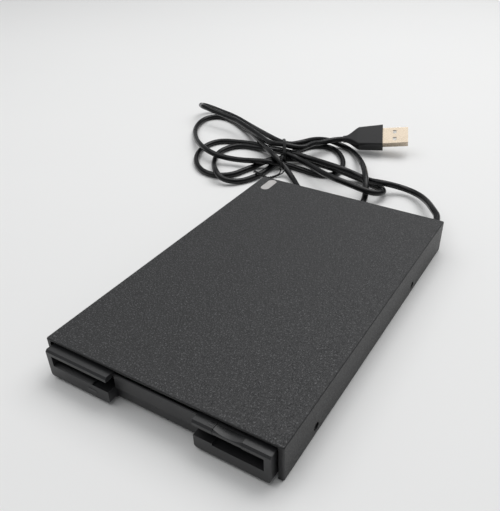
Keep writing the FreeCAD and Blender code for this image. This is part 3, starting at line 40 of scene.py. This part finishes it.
# ------------------------------------------------------------------ camera
az, el, roll = math.radians(-31.605), math.radians(-35.849), math.radians(-0.975)
fwd = Vector((math.sin(az) * math.cos(el), math.cos(az) * math.cos(el), math.sin(el)))
right = Vector((math.cos(az), -math.sin(az), 0.0))
up = right.cross(fwd)
cam_x = right * math.cos(roll) + up * math.sin(roll)
cam_y = up * math.cos(roll) - right * math.sin(roll)
cam_data = bpy.data.cameras.new("camera")
cam_data.lens, cam_data.sensor_width, cam_data.sensor_fit = 41.923, 36.0, "AUTO"
cam_data.shift_x, cam_data.shift_y = -0.0239, 0.0600
cam_data.clip_start, cam_data.clip_end = 0.01, 20.0
cam = bpy.data.objects.new("camera", cam_data)
cam.matrix_world = Matrix((
    (cam_x.x, cam_y.x, -fwd.x, 0.108006), (cam_x.y, cam_y.y, -fwd.y, -0.18112),
    (cam_x.z, cam_y.z, -fwd.z, 0.162157), (0, 0, 0, 1)))
scene.collection.objects.link(cam)
scene.camera = cam


# --------------------------------------------------------------- materials
class Mat:
    """A Principled material with a few helpers for procedural detail."""

    def __init__(self, name, base, rough=0.5, metal=0.0, spec=0.5):
        self.m = bpy.data.materials.new(name)
        self.m.use_nodes = True
        self.t = self.m.node_tree
        self.b = self.t.nodes["Principled BSDF"]
        self.b.inputs["Base Color"].default_value = (*base, 1)
        self.b.inputs["Roughness"].default_value = rough
        self.b.inputs["Metallic"].default_value = metal
        self.b.inputs["Specular IOR Level"].default_value = spec
        self.base, self.rough = base, rough
        self.tc = self.t.nodes.new("ShaderNodeTexCoord")
        self.height = None

    def node(self, kind, **kw):
        n = self.t.nodes.new(kind)
        for k, v in kw.items():
            setattr(n, k, v)
        return n

    def link(self, a, b):
        self.t.links.new(a, b)

    def coords(self, stretch=None):
        if stretch is None:
            return self.tc.outputs["Object"]
        mp = self.node("ShaderNodeMapping")
        mp.inputs["Scale"].default_value = stretch
        self.link(self.tc.outputs["Object"], mp.inputs["Vector"])
        return mp.outputs["Vector"]

    def noise(self, scale, detail=2.0, rough=0.5, stretch=None):
        n = self.node("ShaderNodeTexNoise")
        n.inputs["Scale"].default_value = scale
        n.inputs["Detail"].default_value = detail
        n.inputs["Roughness"].default_value = rough
        self.link(self.coords(stretch), n.inputs["Vector"])
        return n.outputs["Fac"]

    def voronoi(self, scale, feature="F1", smooth=None, warp=None, rand=1.0):
        v = self.node("ShaderNodeTexVoronoi", feature=feature)
        v.inputs["Scale"].default_value = scale
        v.inputs["Randomness"].default_value = rand
        if smooth is not None:
            v.inputs["Smoothness"].default_value = smooth
        self.link(warp if warp is not None else self.tc.outputs["Object"], v.inputs["Vector"])
        return v.outputs["Distance"]

    def warped(self, scale, amount):
        """Object coordinates pushed about by noise, for uneven cells."""
        n = self.node("ShaderNodeTexNoise")
        n.inputs["Scale"].default_value = scale
        n.inputs["Detail"].default_value = 2.0
        self.link(self.tc.outputs["Object"], n.inputs["Vector"])
        s = self.node("ShaderNodeVectorMath", operation="SCALE")
        s.inputs["Scale"].default_value = amount
        self.link(n.outputs["Color"], s.inputs[0])
        a = self.node("ShaderNodeVectorMath", operation="ADD")
        self.link(self.tc.outputs["Object"], a.inputs[0])
        self.link(s.outputs["Vector"], a.inputs[1])
        return a.outputs["Vector"]

    def ramp(self, fac, stops):
        r = self.node("ShaderNodeValToRGB")
        e = r.color_ramp.elements
        while len(e) > 1:
            e.remove(e[-1])
        e[0].position, e[0].color = stops[0][0], self.rgba(stops[0][1])
        for pos, col in stops[1:]:
            x = e.new(pos)
            x.color = self.rgba(col)
        self.link(fac, r.inputs["Fac"])
        return r.outputs["Color"]

    @staticmethod
    def rgba(c):
        return (c, c, c, 1) if isinstance(c, (int, float)) else (*c, 1)

    def math(self, op, a, b=None, clamp=False):
        n = self.node("ShaderNodeMath", operation=op, use_clamp=clamp)
        for i, x in enumerate((a, b)):
            if x is None:
                continue
            if isinstance(x, (int, float)):
                n.inputs[i].default_value = x
            else:
                self.link(x, n.inputs[i])
        return n.outputs[0]

    def mix(self, fac, a, b, blend="MIX"):
        n = self.node("ShaderNodeMix", data_type="RGBA", blend_type=blend)
        if isinstance(fac, (int, float)):
            n.inputs[0].default_value = fac
        else:
            self.link(fac, n.inputs[0])
        for i, x in ((6, a), (7, b)):
            if isinstance(x, tuple):
                n.inputs[i].default_value = self.rgba(x) if len(x) == 3 else x
            else:
                self.link(x, n.inputs[i])
        return n.outputs[2]

    def color(self, socket):
        self.link(socket, self.b.inputs["Base Color"])

    def roughness(self, fac, lo, hi):
        self.link(self.ramp(fac, [(0.25, lo), (0.75, hi)]), self.b.inputs["Roughness"])

    def bump(self, height, dist, strength=1.0):
        n = self.node("ShaderNodeBump")
        n.inputs["Strength"].default_value = strength
        n.inputs["Distance"].default_value = dist
        self.link(height, n.inputs["Height"])
        if self.height is not None:
            self.link(self.height, n.inputs["Normal"])
        self.height = n.outputs["Normal"]
        self.link(self.height, self.b.inputs["Normal"])
        return self

    def top_mask(self, lo=0.75, hi=0.95):
        """1 where the surface faces up, 0 on its sides."""
        g = self.node("ShaderNodeNewGeometry")
        s = self.node("ShaderNodeSeparateXYZ")
        self.link(g.outputs["Normal"], s.inputs[0])
        return self.ramp(s.outputs["Z"], [(lo, 0.0), (hi, 1.0)])


def speckled(name, base, rough, spec=0.5, grain=1600.0, depth=0.00003, vary=0.16, metal=0.0):
    """Fine spark-eroded moulding texture with slight colour and gloss variation."""
    m = Mat(name, base, rough, metal, spec)
    n1 = m.noise(grain, 3.0, 0.65)
    n2 = m.noise(38.0, 3.0)
    lo, hi = tuple(c * (1 - vary) for c in base), tuple(c * (1 + vary) for c in base)
    c = m.mix(n2, lo, hi)
    m.color(m.mix(m.ramp(n1, [(0.35, 0.0), (0.7, 1.0)]), c, tuple(min(1, x * 1.35) for x in base)))
    m.roughness(m.noise(90.0, 4.0), rough - 0.06, rough + 0.07)
    m.bump(n1, depth)
    return m


def metal(name, base, rough, brushed=None, vary=0.08):
    m = Mat(name, base, rough, 1.0)
    n = m.noise(900.0 if brushed is None else 260.0, 5.0, 0.6, brushed)
    big = m.noise(30.0, 3.0)
    m.color(m.mix(big, tuple(c * (1 - vary) for c in base), tuple(min(1, c * (1 + vary)) for c in base)))
    m.roughness(n, max(0.05, rough - 0.1), rough + 0.12)
    m.bump(n, 0.00001, 0.6)
    return m


# lid: leather grain on the top face, plain fine texture on the sides; the bright specks and flecks on the top face are
# painted glints
lid = Mat("lid_leather_grain_painted_glints", (0.0095, 0.0097, 0.0106), 0.46, 0.0, 0.5)
wv = lid.warped(700.0, 0.0005)
cells = lid.voronoi(1500.0, "SMOOTH_F1", 0.25, wv)
cells2 = lid.voronoi(2900.0, "SMOOTH_F1", 0.3, wv)
fine = lid.noise(3600.0, 3.0, 0.7)
mask = lid.top_mask()
dots = lid.ramp(cells, [(0.08, 1.0), (0.5, 0.0)])
h1 = lid.math("MULTIPLY", dots, 0.8)
h2 = lid.math("MULTIPLY", lid.ramp(cells2, [(0.0, 1.0), (0.6, 0.0)]), 0.3)
grain = lid.math("ADD", lid.math("ADD", h1, h2), lid.math("MULTIPLY", fine, 0.25))
flat = lid.math("MULTIPLY", fine, 0.25)
gm = lid.node("ShaderNodeMix", data_type="FLOAT")
lid.link(mask, gm.inputs[0])
lid.link(flat, gm.inputs[2])
lid.link(grain, gm.inputs[3])
lid.bump(gm.outputs[0], 0.0002, 1.0)
tone = lid.mix(lid.noise(24.0, 3.0), (0.0054, 0.0056, 0.0063), (0.0076, 0.0078, 0.0087))
# painted highlight: bright specks on the grain dots and fine bright flecks, on the top face only, stand in for glints
# of light off the grain
patch = lid.ramp(lid.noise(420.0, 2.0, 0.6), [(0.36, 0.25), (0.62, 1.0)])
painted_glint_specks = lid.math("MULTIPLY", lid.math("MULTIPLY", dots, patch), mask)
tone = lid.mix(painted_glint_specks, tone, (0.062, 0.063, 0.066))
painted_glint_flecks = lid.ramp(lid.noise(1350.0, 1.0, 0.7), [(0.58, 0.0), (0.68, 1.0)])
painted_glint_flecks = lid.math("MULTIPLY", painted_glint_flecks, mask)
lid.color(lid.mix(lid.math("MULTIPLY", painted_glint_flecks, 0.8), tone, (0.105, 0.106, 0.110)))
lid.roughness(lid.noise(1500.0, 2.0), 0.36, 0.6)

case = speckled("case_fine_texture", (0.0075, 0.0075, 0.0082), 0.38, 0.45)
bezel = speckled("bezel_matt", (0.0170, 0.0172, 0.0182), 0.37, 0.5, 2200.0, 0.00002, 0.12)
button = speckled("button_matt", (0.0220, 0.0222, 0.0232), 0.36, 0.5, 2200.0, 0.00002, 0.12)
rubber = speckled("foot_rubber", (0.012, 0.012, 0.013), 0.72, 0.4, 900.0, 0.00004, 0.2)
jacket = speckled("cord_jacket_satin", (0.0018, 0.0020, 0.0025), 0.25, 0.3, 2600.0, 0.000012, 0.2)
grip = speckled("plug_grip_matt", (0.0076, 0.0077, 0.0084), 0.34, 0.4, 2600.0, 0.00001, 0.15)
tie = speckled("tie_cover", (0.005, 0.005, 0.0056), 0.4, 0.35, 2600.0, 0.00001, 0.2)
blackp = speckled("inner_black_plastic", (0.02, 0.02, 0.022), 0.5, 0.5)
whitep = speckled("inner_white_plastic", (0.74, 0.73, 0.69), 0.45, 0.5, 1800.0, 0.00001, 0.04)
sheet = metal("zinc_sheet", (0.62, 0.63, 0.65), 0.34, (1, 12, 12))
bright = metal("ground_steel", (0.72, 0.72, 0.74), 0.22, (1, 1, 14))
blacks = metal("black_zinc_screw", (0.035, 0.035, 0.038), 0.36)
spring = metal("spring_wire", (0.6, 0.6, 0.62), 0.28)
magnet = speckled("bonded_ferrite", (0.06, 0.06, 0.065), 0.6, 0.4)
core = metal("lamination", (0.34, 0.35, 0.37), 0.4)
bronze = metal("sintered_bronze", (0.55, 0.38, 0.19), 0.45)
alloy = metal("cast_alloy", (0.66, 0.67, 0.69), 0.42)
board = speckled("solder_mask", (0.012, 0.075, 0.035), 0.32, 0.5, 500.0, 0.00002, 0.25)
ferrite = speckled("head_ceramic", (0.05, 0.05, 0.055), 0.18, 0.6)
film = speckled("polyimide_film", (0.42, 0.19, 0.035), 0.25, 0.5, 700.0, 0.00001, 0.1)
lamp = Mat("lamp_epoxy", (0.42, 0.50, 0.42), 0.3, 0.0, 0.5)
lamp.color(lamp.mix(lamp.noise(300.0), (0.36, 0.43, 0.36), (0.48, 0.56, 0.48)))

wind = Mat("enamelled_winding", (0.4, 0.15, 0.05), 0.3, 0.9)
wnd = wind.noise(700.0, 2.0, 0.5, (1, 1, 9))
wind.color(wind.mix(wnd, (0.30, 0.10, 0.035), (0.55, 0.24, 0.09)))
wind.bump(wnd, 0.00004)

window = Mat("frosted_window", (0.50, 0.485, 0.475), 0.38, 0.0, 0.5)
window.b.inputs["Subsurface Weight"].default_value = 0.25
window.b.inputs["Subsurface Radius"].default_value = (0.002, 0.002, 0.002)
window.b.inputs["Subsurface Scale"].default_value = 1.0
window.color(window.mix(window.noise(260.0, 3.0), (0.46, 0.445, 0.435), (0.55, 0.535, 0.525)))
window.bump(window.noise(1800.0, 3.0), 0.00001)

gold = Mat("plug_shell_plating", (0.56, 0.475, 0.375), 0.26, 1.0)
gn = gold.noise(220.0, 4.0, 0.6, (1, 1, 1))
gold.color(gold.mix(gold.noise(70.0, 3.0), (0.53, 0.45, 0.355), (0.60, 0.515, 0.41)))
gold.roughness(gn, 0.2, 0.34)
gold.bump(gold.noise(1500.0, 3.0), 0.000006)

smoked = Mat("smoked_lens", (0.02, 0.02, 0.022), 0.22, 0.0, 0.5)
smoked.color(smoked.mix(smoked.noise(900.0, 2.0), (0.015, 0.015, 0.017), (0.034, 0.034, 0.037)))
smoked.bump(smoked.noise(2400.0, 2.0), 0.000006)

winding = wind
ASSIGN = {
    "top_cover": lid, "bottom_cover": case, "rubber_feet": rubber, "cover_screws": blacks, "side_screws": blacks,
    "front_bezel": bezel, "door_flap": bezel, "door_spring": spring, "drive_frame": sheet, "top_shield": sheet,
    "shield_screws": bright, "control_board": board, "spindle_bearing": bronze, "stator_core": core,
    "stator_coils": winding, "spindle_rotor": sheet, "rotor_magnet": magnet, "chuck_hub": blackp,
    "spindle_shaft": bright, "drive_pin": bright, "disk_cradle": sheet, "slider_plate": sheet,
    "eject_button": button, "slider_springs": spring, "shutter_lever": blackp, "lever_spring": spring,
    "guide_rods": bright, "rod_clips": whitep, "head_carriage": blackp, "lower_head": ferrite, "head_arm": alloy,
    "upper_head": ferrite, "arm_spring": spring, "stepper_motor": sheet, "lead_screw": bright,
    "screw_bracket": sheet, "head_cable": film, "switch_bodies": blackp, "write_protect_plunger": whitep,
    "density_plunger": whitep, "disk_in_plunger": whitep, "bridge_board": board, "board_chips": blackp,
    "board_components": alloy, "status_led": lamp, "ribbon_sockets": whitep, "ribbon_cable": whitep,
    "cord_socket": whitep, "lead_wires": jacket, "light_pipe": window, "activity_lens": smoked, "activity_led": smoked,
    "cord_gland": jacket, "cord_lead": jacket, "cord_tail": jacket, "cord_hank": jacket, "twist_tie": tie,
    "usb_plug_overmold": grip, "usb_plug_shell": gold, "usb_plug_tongue": whitep,
}
for name, m in ASSIGN.items():
    o = NODES[name]
    o.data.materials.clear()
    o.data.materials.append(m.m)


# -------------------------------------------------------------------- cord
# One route from the gland to the plug: out of the drive, eight times through
# the tie, five low loops and two high ones, then over them to the plug.
ROUTE = [
    (45.6, 89, 9.2), (44.9, 96.5, 9.3), (39.4, 105, 8.6), (32.6, 117.2, 6), (24, 127.4, 3.8), (13.7, 131.1, 3.6),
    (3.7, 124.6, 7.2), (-5.8, 127.1, 5.1), (-15.7, 130.4, 5.4), (-23.7, 127.1, 8.8), (-36.5, 130.5, 8.2),
    (-50.4, 136.2, 6.3), (-60.4, 135.7, 7.5), (-72.8, 138.6, 6.7), (-86.8, 147.2, 1.7), (-99.5, 148.2, 1.9),
    (-111.3, 145.7, 1.8), (-122.7, 141.9, 1.8), (-126.7, 131.9, 1.8), (-125.2, 118.8, 1.8), (-117.6, 105, 1.8),
    (-107.1, 96.1, 1.8), (-97.5, 93.6, 1.8), (-90.6, 95.5, 1.8), (-85, 100.7, 1.8), (-82.2, 110.5, 1.8),
    (-78.8, 120.6, 1.9), (-71.3, 123.9, 6.3), (-66.7, 129.5, 4.9), (-62.1, 138.3, 2.5), (-55.1, 140.9, 2.2),
    (-42.6, 136.7, 3.3), (-27.7, 129.5, 6.2), (-19.2, 131.4, 3.7), (-14.2, 132.6, 2.2), (-3.7, 130.7, 1.8),
    (1.4, 128.6, 2), (5.8, 121.4, 3.7), (6.3, 116.5, 5.2), (3.9, 112.3, 5.9), (-1.1, 110.2, 7.1), (-15.2, 109.2, 10),
    (-20.7, 109.3, 10.7), (-31.1, 115.1, 9.4), (-43.5, 124.5, 7.4), (-54.4, 130.5, 6.7), (-60.1, 130.7, 8.2),
    (-71.5, 134.1, 7.5), (-83.2, 140.7, 3.4), (-95.1, 143.4, 1.9), (-105.4, 141.8, 1.8), (-111.2, 134.6, 1.9),
    (-112.7, 123.3, 1.8), (-105.4, 108.6, 2), (-93, 92.3, 6.4), (-86, 88.7, 3.8), (-79.4, 90.9, 2.5),
    (-74.8, 96.8, 1.6), (-71, 104.5, 2.2), (-70.1, 116.1, 1.6), (-71.1, 131.8, 2.5), (-68.3, 141.8, 3.7),
    (-67.6, 154.7, 1.8), (-63.1, 164.8, 1.8), (-55.3, 168.9, 1.8), (-45.5, 166.3, 1.8), (-35.1, 154.5, 1.8),
    (-29.8, 142, 1.8), (-29.6, 132.9, 1.8), (-33.8, 127.6, 1.8), (-42, 126.2, 1.8), (-51.8, 127.8, 1.8),
    (-60, 128.9, 1.8), (-65.3, 125.6, 3.4), (-69.8, 120.1, 6), (-78, 116.8, 6.1), (-89.2, 117.4, 3.9),
    (-98.9, 114.5, 4.4), (-108.2, 112.8, 5.9), (-120.8, 117.9, 6.3), (-137.5, 132.8, 3.5), (-152.8, 152.4, 1.7),
    (-158, 170.7, 1.9), (-152.4, 181, 1.8), (-139.9, 180.2, 1.9), (-124.1, 171.6, 1.7), (-105.6, 158.2, 4.3),
    (-87.1, 140.1, 6.4), (-70.9, 123.9, 10.2), (-63.1, 120.8, 7.2), (-56.4, 118.7, 3.5), (-47.3, 110.8, 1.7),
    (-42.2, 105, 1.9), (-33.2, 95.5, 1.8), (-19.8, 91, 1.8), (-5.5, 93.9, 1.9), (-0.1, 103.1, 1.7),
    (-1.6, 112.2, 2.6), (-5.2, 120, 8.9), (-13.4, 136.2, 8.8), (-26.9, 159.8, 3), (-37.5, 171.7, 1.6),
    (-47, 175, 2.2), (-54.1, 171.6, 5.3), (-58.4, 159.5, 9.4), (-61.2, 144.6, 11.6), (-66.3, 140, 10.9),
    (-73.5, 140.5, 10.8), (-92.3, 153.7, 7.8), (-118.3, 175.2, 2), (-139.8, 186.8, 1.7), (-155.7, 190.2, 2.3),
    (-162.7, 190, 3.7), (-166.9, 185.8, 6.2), (-166.7, 179.7, 8.5), (-161.4, 174.6, 9.9), (-155.1, 168.4, 12.3),
    (-127.4, 165.8, 9), (-115.1, 158.3, 9.8), (-94.8, 147.2, 9.5), (-79, 135.5, 10.6), (-71, 134.3, 12.8),
    (-57.6, 139.3, 10.1), (-56.5, 151.3, 9.7), (-53.4, 158.4, 8.1), (-49.6, 169.7, 7.1), (-43.5, 171.9, 7.8),
]


def nurbs(name, points, radius, material, res=8, bevel_res=5, caps=True):
    cu = bpy.data.curves.new(name, "CURVE")
    cu.dimensions = "3D"
    cu.bevel_depth = radius
    cu.bevel_resolution = bevel_res
    cu.resolution_u = res
    cu.use_fill_caps = caps
    sp = cu.splines.new("NURBS")
    sp.points.add(len(points) - 1)
    for p, c in zip(sp.points, points):
        p.co = (c[0] * MM, c[1] * MM, c[2] * MM, 1.0)
    sp.order_u = 3
    sp.use_endpoint_u = True
    cu.materials.append(material.m)
    o = bpy.data.objects.new(name, cu)
    scene.collection.objects.link(o)
    return o


cord = nurbs("usb_cord", ROUTE, 1.75 * MM, jacket)
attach(cord, "housing")
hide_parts("cord_lead", "cord_hank", "cord_tail")


def mesh_piece(name, bm, material, body="housing", smooth=True):
    me = bpy.data.meshes.new(name)
    bm.to_mesh(me)
    bm.free()
    me.materials.append(material.m)
    if smooth:
        for p in me.polygons:
            p.use_smooth = True
    o = bpy.data.objects.new(name, me)
    scene.collection.objects.link(o)
    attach(o, body)
    return o


# --------------------------------------------------------------- twist tie
# A flat covered wire bent round the waist of the hank. Its two ends leave the
# belt twisted together, part round a small eye and are twisted up to the hook.
TIE_AT = Vector((-69.3, 137.2, 0.0))
TIE_H = Vector((-0.5239, 0.8518, 0.0))
TIE_N = Vector((0.8518, 0.5239, 0.0))
UP = Vector((0.0, 0.0, 1.0))
WAIST = [(-0.5, 3.04), (1.3, 3.27), (5.0, 10.7), (-1.7, 12.15), (-6.4, 7.9), (-7.25, 4.6), (-6.3, 4.1)]


def belt_path(r):
    """Points and outward directions along the waist's outline grown by r."""
    n = len(WAIST)
    turn = [math.atan2(WAIST[i][0] - WAIST[(i + 1) % n][0], WAIST[(i + 1) % n][1] - WAIST[i][1]) for i in range(n)]
    path = []
    for i in range(n):
        h, z = WAIST[i]
        a0, a1 = turn[i - 1], turn[i]
        while a1 < a0:
            a1 += 2 * math.pi
        steps = max(2, int((a1 - a0) / 0.16))
        for k in range(steps + 1):
            a = a0 + (a1 - a0) * k / steps
            path.append((TIE_AT + TIE_H * (h + r * math.cos(a)) + UP * (z + r * math.sin(a)),
                         TIE_H * math.cos(a) + UP * math.sin(a)))
        p, q = path[-1][0], TIE_AT + TIE_H * (WAIST[(i + 1) % n][0] + r * math.cos(a1)) + UP * (WAIST[(i + 1) % n][1] + r * math.sin(a1))
        for k in (1, 2, 3):
            path.append((p.lerp(q, k / 4.0), path[-1][1]))
    return path


def skin(bm, rings, closed):
    """Faces between successive rings of vertices, with flat ends if open."""
    vs = [[bm.verts.new(p * MM) for p in ring] for ring in rings]
    m = len(vs[0])
    for i in range(len(vs) if closed else len(vs) - 1):
        a, b = vs[i], vs[(i + 1) % len(vs)]
        for k in range(m):
            bm.faces.new((a[k], a[(k + 1) % m], b[(k + 1) % m], b[k]))
    if not closed:
        bm.faces.new(list(reversed(vs[0])))
        bm.faces.new(vs[-1])


def smooth_path(pts, step=0.35):
    """Catmull-Rom curve through the points at an even step."""
    p = [Vector(q) for q in pts]
    p = [p[0] * 2 - p[1]] + p + [p[-1] * 2 - p[-2]]
    out = []
    for i in range(1, len(p) - 2):
        n = max(4, int((p[i + 1] - p[i]).length / step))
        for k in range(n):
            t = k / n
            out.append(0.5 * (2 * p[i] + (p[i + 1] - p[i - 1]) * t + (2 * p[i - 1] - 5 * p[i] + 4 * p[i + 1] - p[i + 2]) * t * t
                              + (3 * p[i] - p[i - 1] - 3 * p[i + 1] + p[i + 2]) * t ** 3))
    out.append(p[-2])
    return out


def ease(x, a, b):
    t = min(1.0, max(0.0, (x - a) / (b - a)))
    return t * t * (3 - 2 * t)


def wire_rings(path, radius, sides=10):
    rings = []
    for i, c in enumerate(path):
        t = (path[min(i + 1, len(path) - 1)] - path[max(i - 1, 0)]).normalized()
        e1 = t.cross(UP).normalized()
        e2 = e1.cross(t)
        k = radius * (0.55 if i in (0, len(path) - 1) else 1.0)
        rings.append([c + (e1 * math.cos(a) + e2 * math.sin(a)) * k for a in (2 * math.pi * j / sides for j in range(sides))])
    return rings


bm = bmesh.new()
half = [-0.9, -0.74, -0.5, -0.32, -0.18, 0.0, 0.18, 0.32, 0.5, 0.74, 0.9]
thick = [0.08 + 0.28 * math.exp(-(u / 0.26) ** 2) + 0.04 * (1 - (u / 0.9) ** 2) for u in half]
section = list(zip(half, thick)) + [(u, -t) for u, t in reversed(list(zip(half, thick)))]
skin(bm, [[c + TIE_N * u + o * v for u, v in section] for c, o in belt_path(2.24)], True)
middle = smooth_path([(-64.5, 129.4, 5.2), (-63.8, 125.4, 8.8), (-62.6, 121.9, 9.9), (-61.2, 119.2, 9.3), (-60.0, 117.6, 7.2),
                      (-59.2, 116.7, 4.9), (-59.6, 115.9, 2.6), (-61.6, 113.2, 1.2), (-64.8, 108.9, 1.0), (-67.4, 106.2, 3.1),
                      (-69.9, 105.0, 4.6), (-73.4, 106.5, 4.2)])
run = [0.0]
for a, c in zip(middle, middle[1:]):
    run.append(run[-1] + (c - a).length)
for sign in (1, -1):
    line = []
    for i, c in enumerate(middle):
        t = (middle[min(i + 1, len(middle) - 1)] - middle[max(i - 1, 0)]).normalized()
        e1 = t.cross(UP).normalized()
        e2 = e1.cross(t)
        d = run[i]
        apart = 0.40 + 1.25 * ease(d, 15.0, 18.4) * (1 - ease(d, 19.2, 22.6)) + 0.35 * ease(d, run[-1] - 2.0, run[-1])
        turn = 2 * math.pi * (min(d, 15.0) - 15.0) / 3.0 + 2 * math.pi * max(d - 22.6, 0.0) / 3.2
        line.append(c + (e1 * math.cos(turn) + e2 * math.sin(turn)) * apart * sign)
    skin(bm, wire_rings(line, 0.38), False)
bmesh.ops.recalc_face_normals(bm, faces=bm.faces)
tie_piece = mesh_piece("twist_tie_wire", bm, tie)
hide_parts("twist_tie")

# A small plain raised bar on the lower lip of the left jaw.
bm = bmesh.new()
skin(bm, [[Vector((-29.1 + g, y, 3.5 + g)), Vector((-24.8 - g, y, 3.5 + g)), Vector((-24.8 - g, y, 4.8 - g)), Vector((-29.1 + g, y, 4.8 - g))]
          for y, g in ((-81.74, 0.0), (-81.84, 0.0), (-81.9, 0.09))], False)
bmesh.ops.recalc_face_normals(bm, faces=bm.faces)
bar_mat = Mat("bar_plastic", (0.05, 0.05, 0.052), 0.4, 0.0, 0.5)
bar_mat.color(bar_mat.mix(bar_mat.noise(900.0, 2.0), (0.048, 0.048, 0.050), (0.054, 0.054, 0.056)))
mesh_piece("jaw_mark_bar", bm, bar_mat, smooth=False)

# ------------------------------------------------------------------- stage
floor_mat = Mat("floor", (0.86, 0.86, 0.855), 0.6, 0.0, 0.3)
floor_mat.color(floor_mat.mix(floor_mat.noise(6.0, 2.0), (0.85, 0.85, 0.845), (0.87, 0.87, 0.865)))
bm = bmesh.new()
bmesh.ops.create_grid(bm, x_segments=8, y_segments=8, size=4.0)
me = bpy.data.meshes.new("floor")
bm.to_mesh(me)
bm.free()
me.materials.append(floor_mat.m)
floor = bpy.data.objects.new("floor", me)
scene.collection.objects.link(floor)

world = bpy.data.worlds.new("studio")
scene.world = world
world.use_nodes = True
bg = world.node_tree.nodes["Background"]
bg.inputs["Color"].default_value = (0.97, 0.985, 1.0, 1)
bg.inputs["Strength"].default_value = 0.30


def area(name, loc, target, size, energy, color=(1, 1, 1)):
    l = bpy.data.lights.new(name, "AREA")
    l.shape = "RECTANGLE"
    l.size, l.size_y = size
    l.energy = energy
    l.color = color
    o = bpy.data.objects.new(name, l)
    o.location = loc
    d = Vector(target) - Vector(loc)
    o.rotation_euler = d.to_track_quat("-Z", "Y").to_euler()
    scene.collection.objects.link(o)
    return o


area("key", (0.08, 0.65, 0.95), (0, 0, 0), (0.9, 0.9), 6.4)
area("top", (-0.35, 0.0, 1.1), (0, 0, 0), (1.4, 1.4), 6.4)
scene.view_settings.view_transform = "Standard"
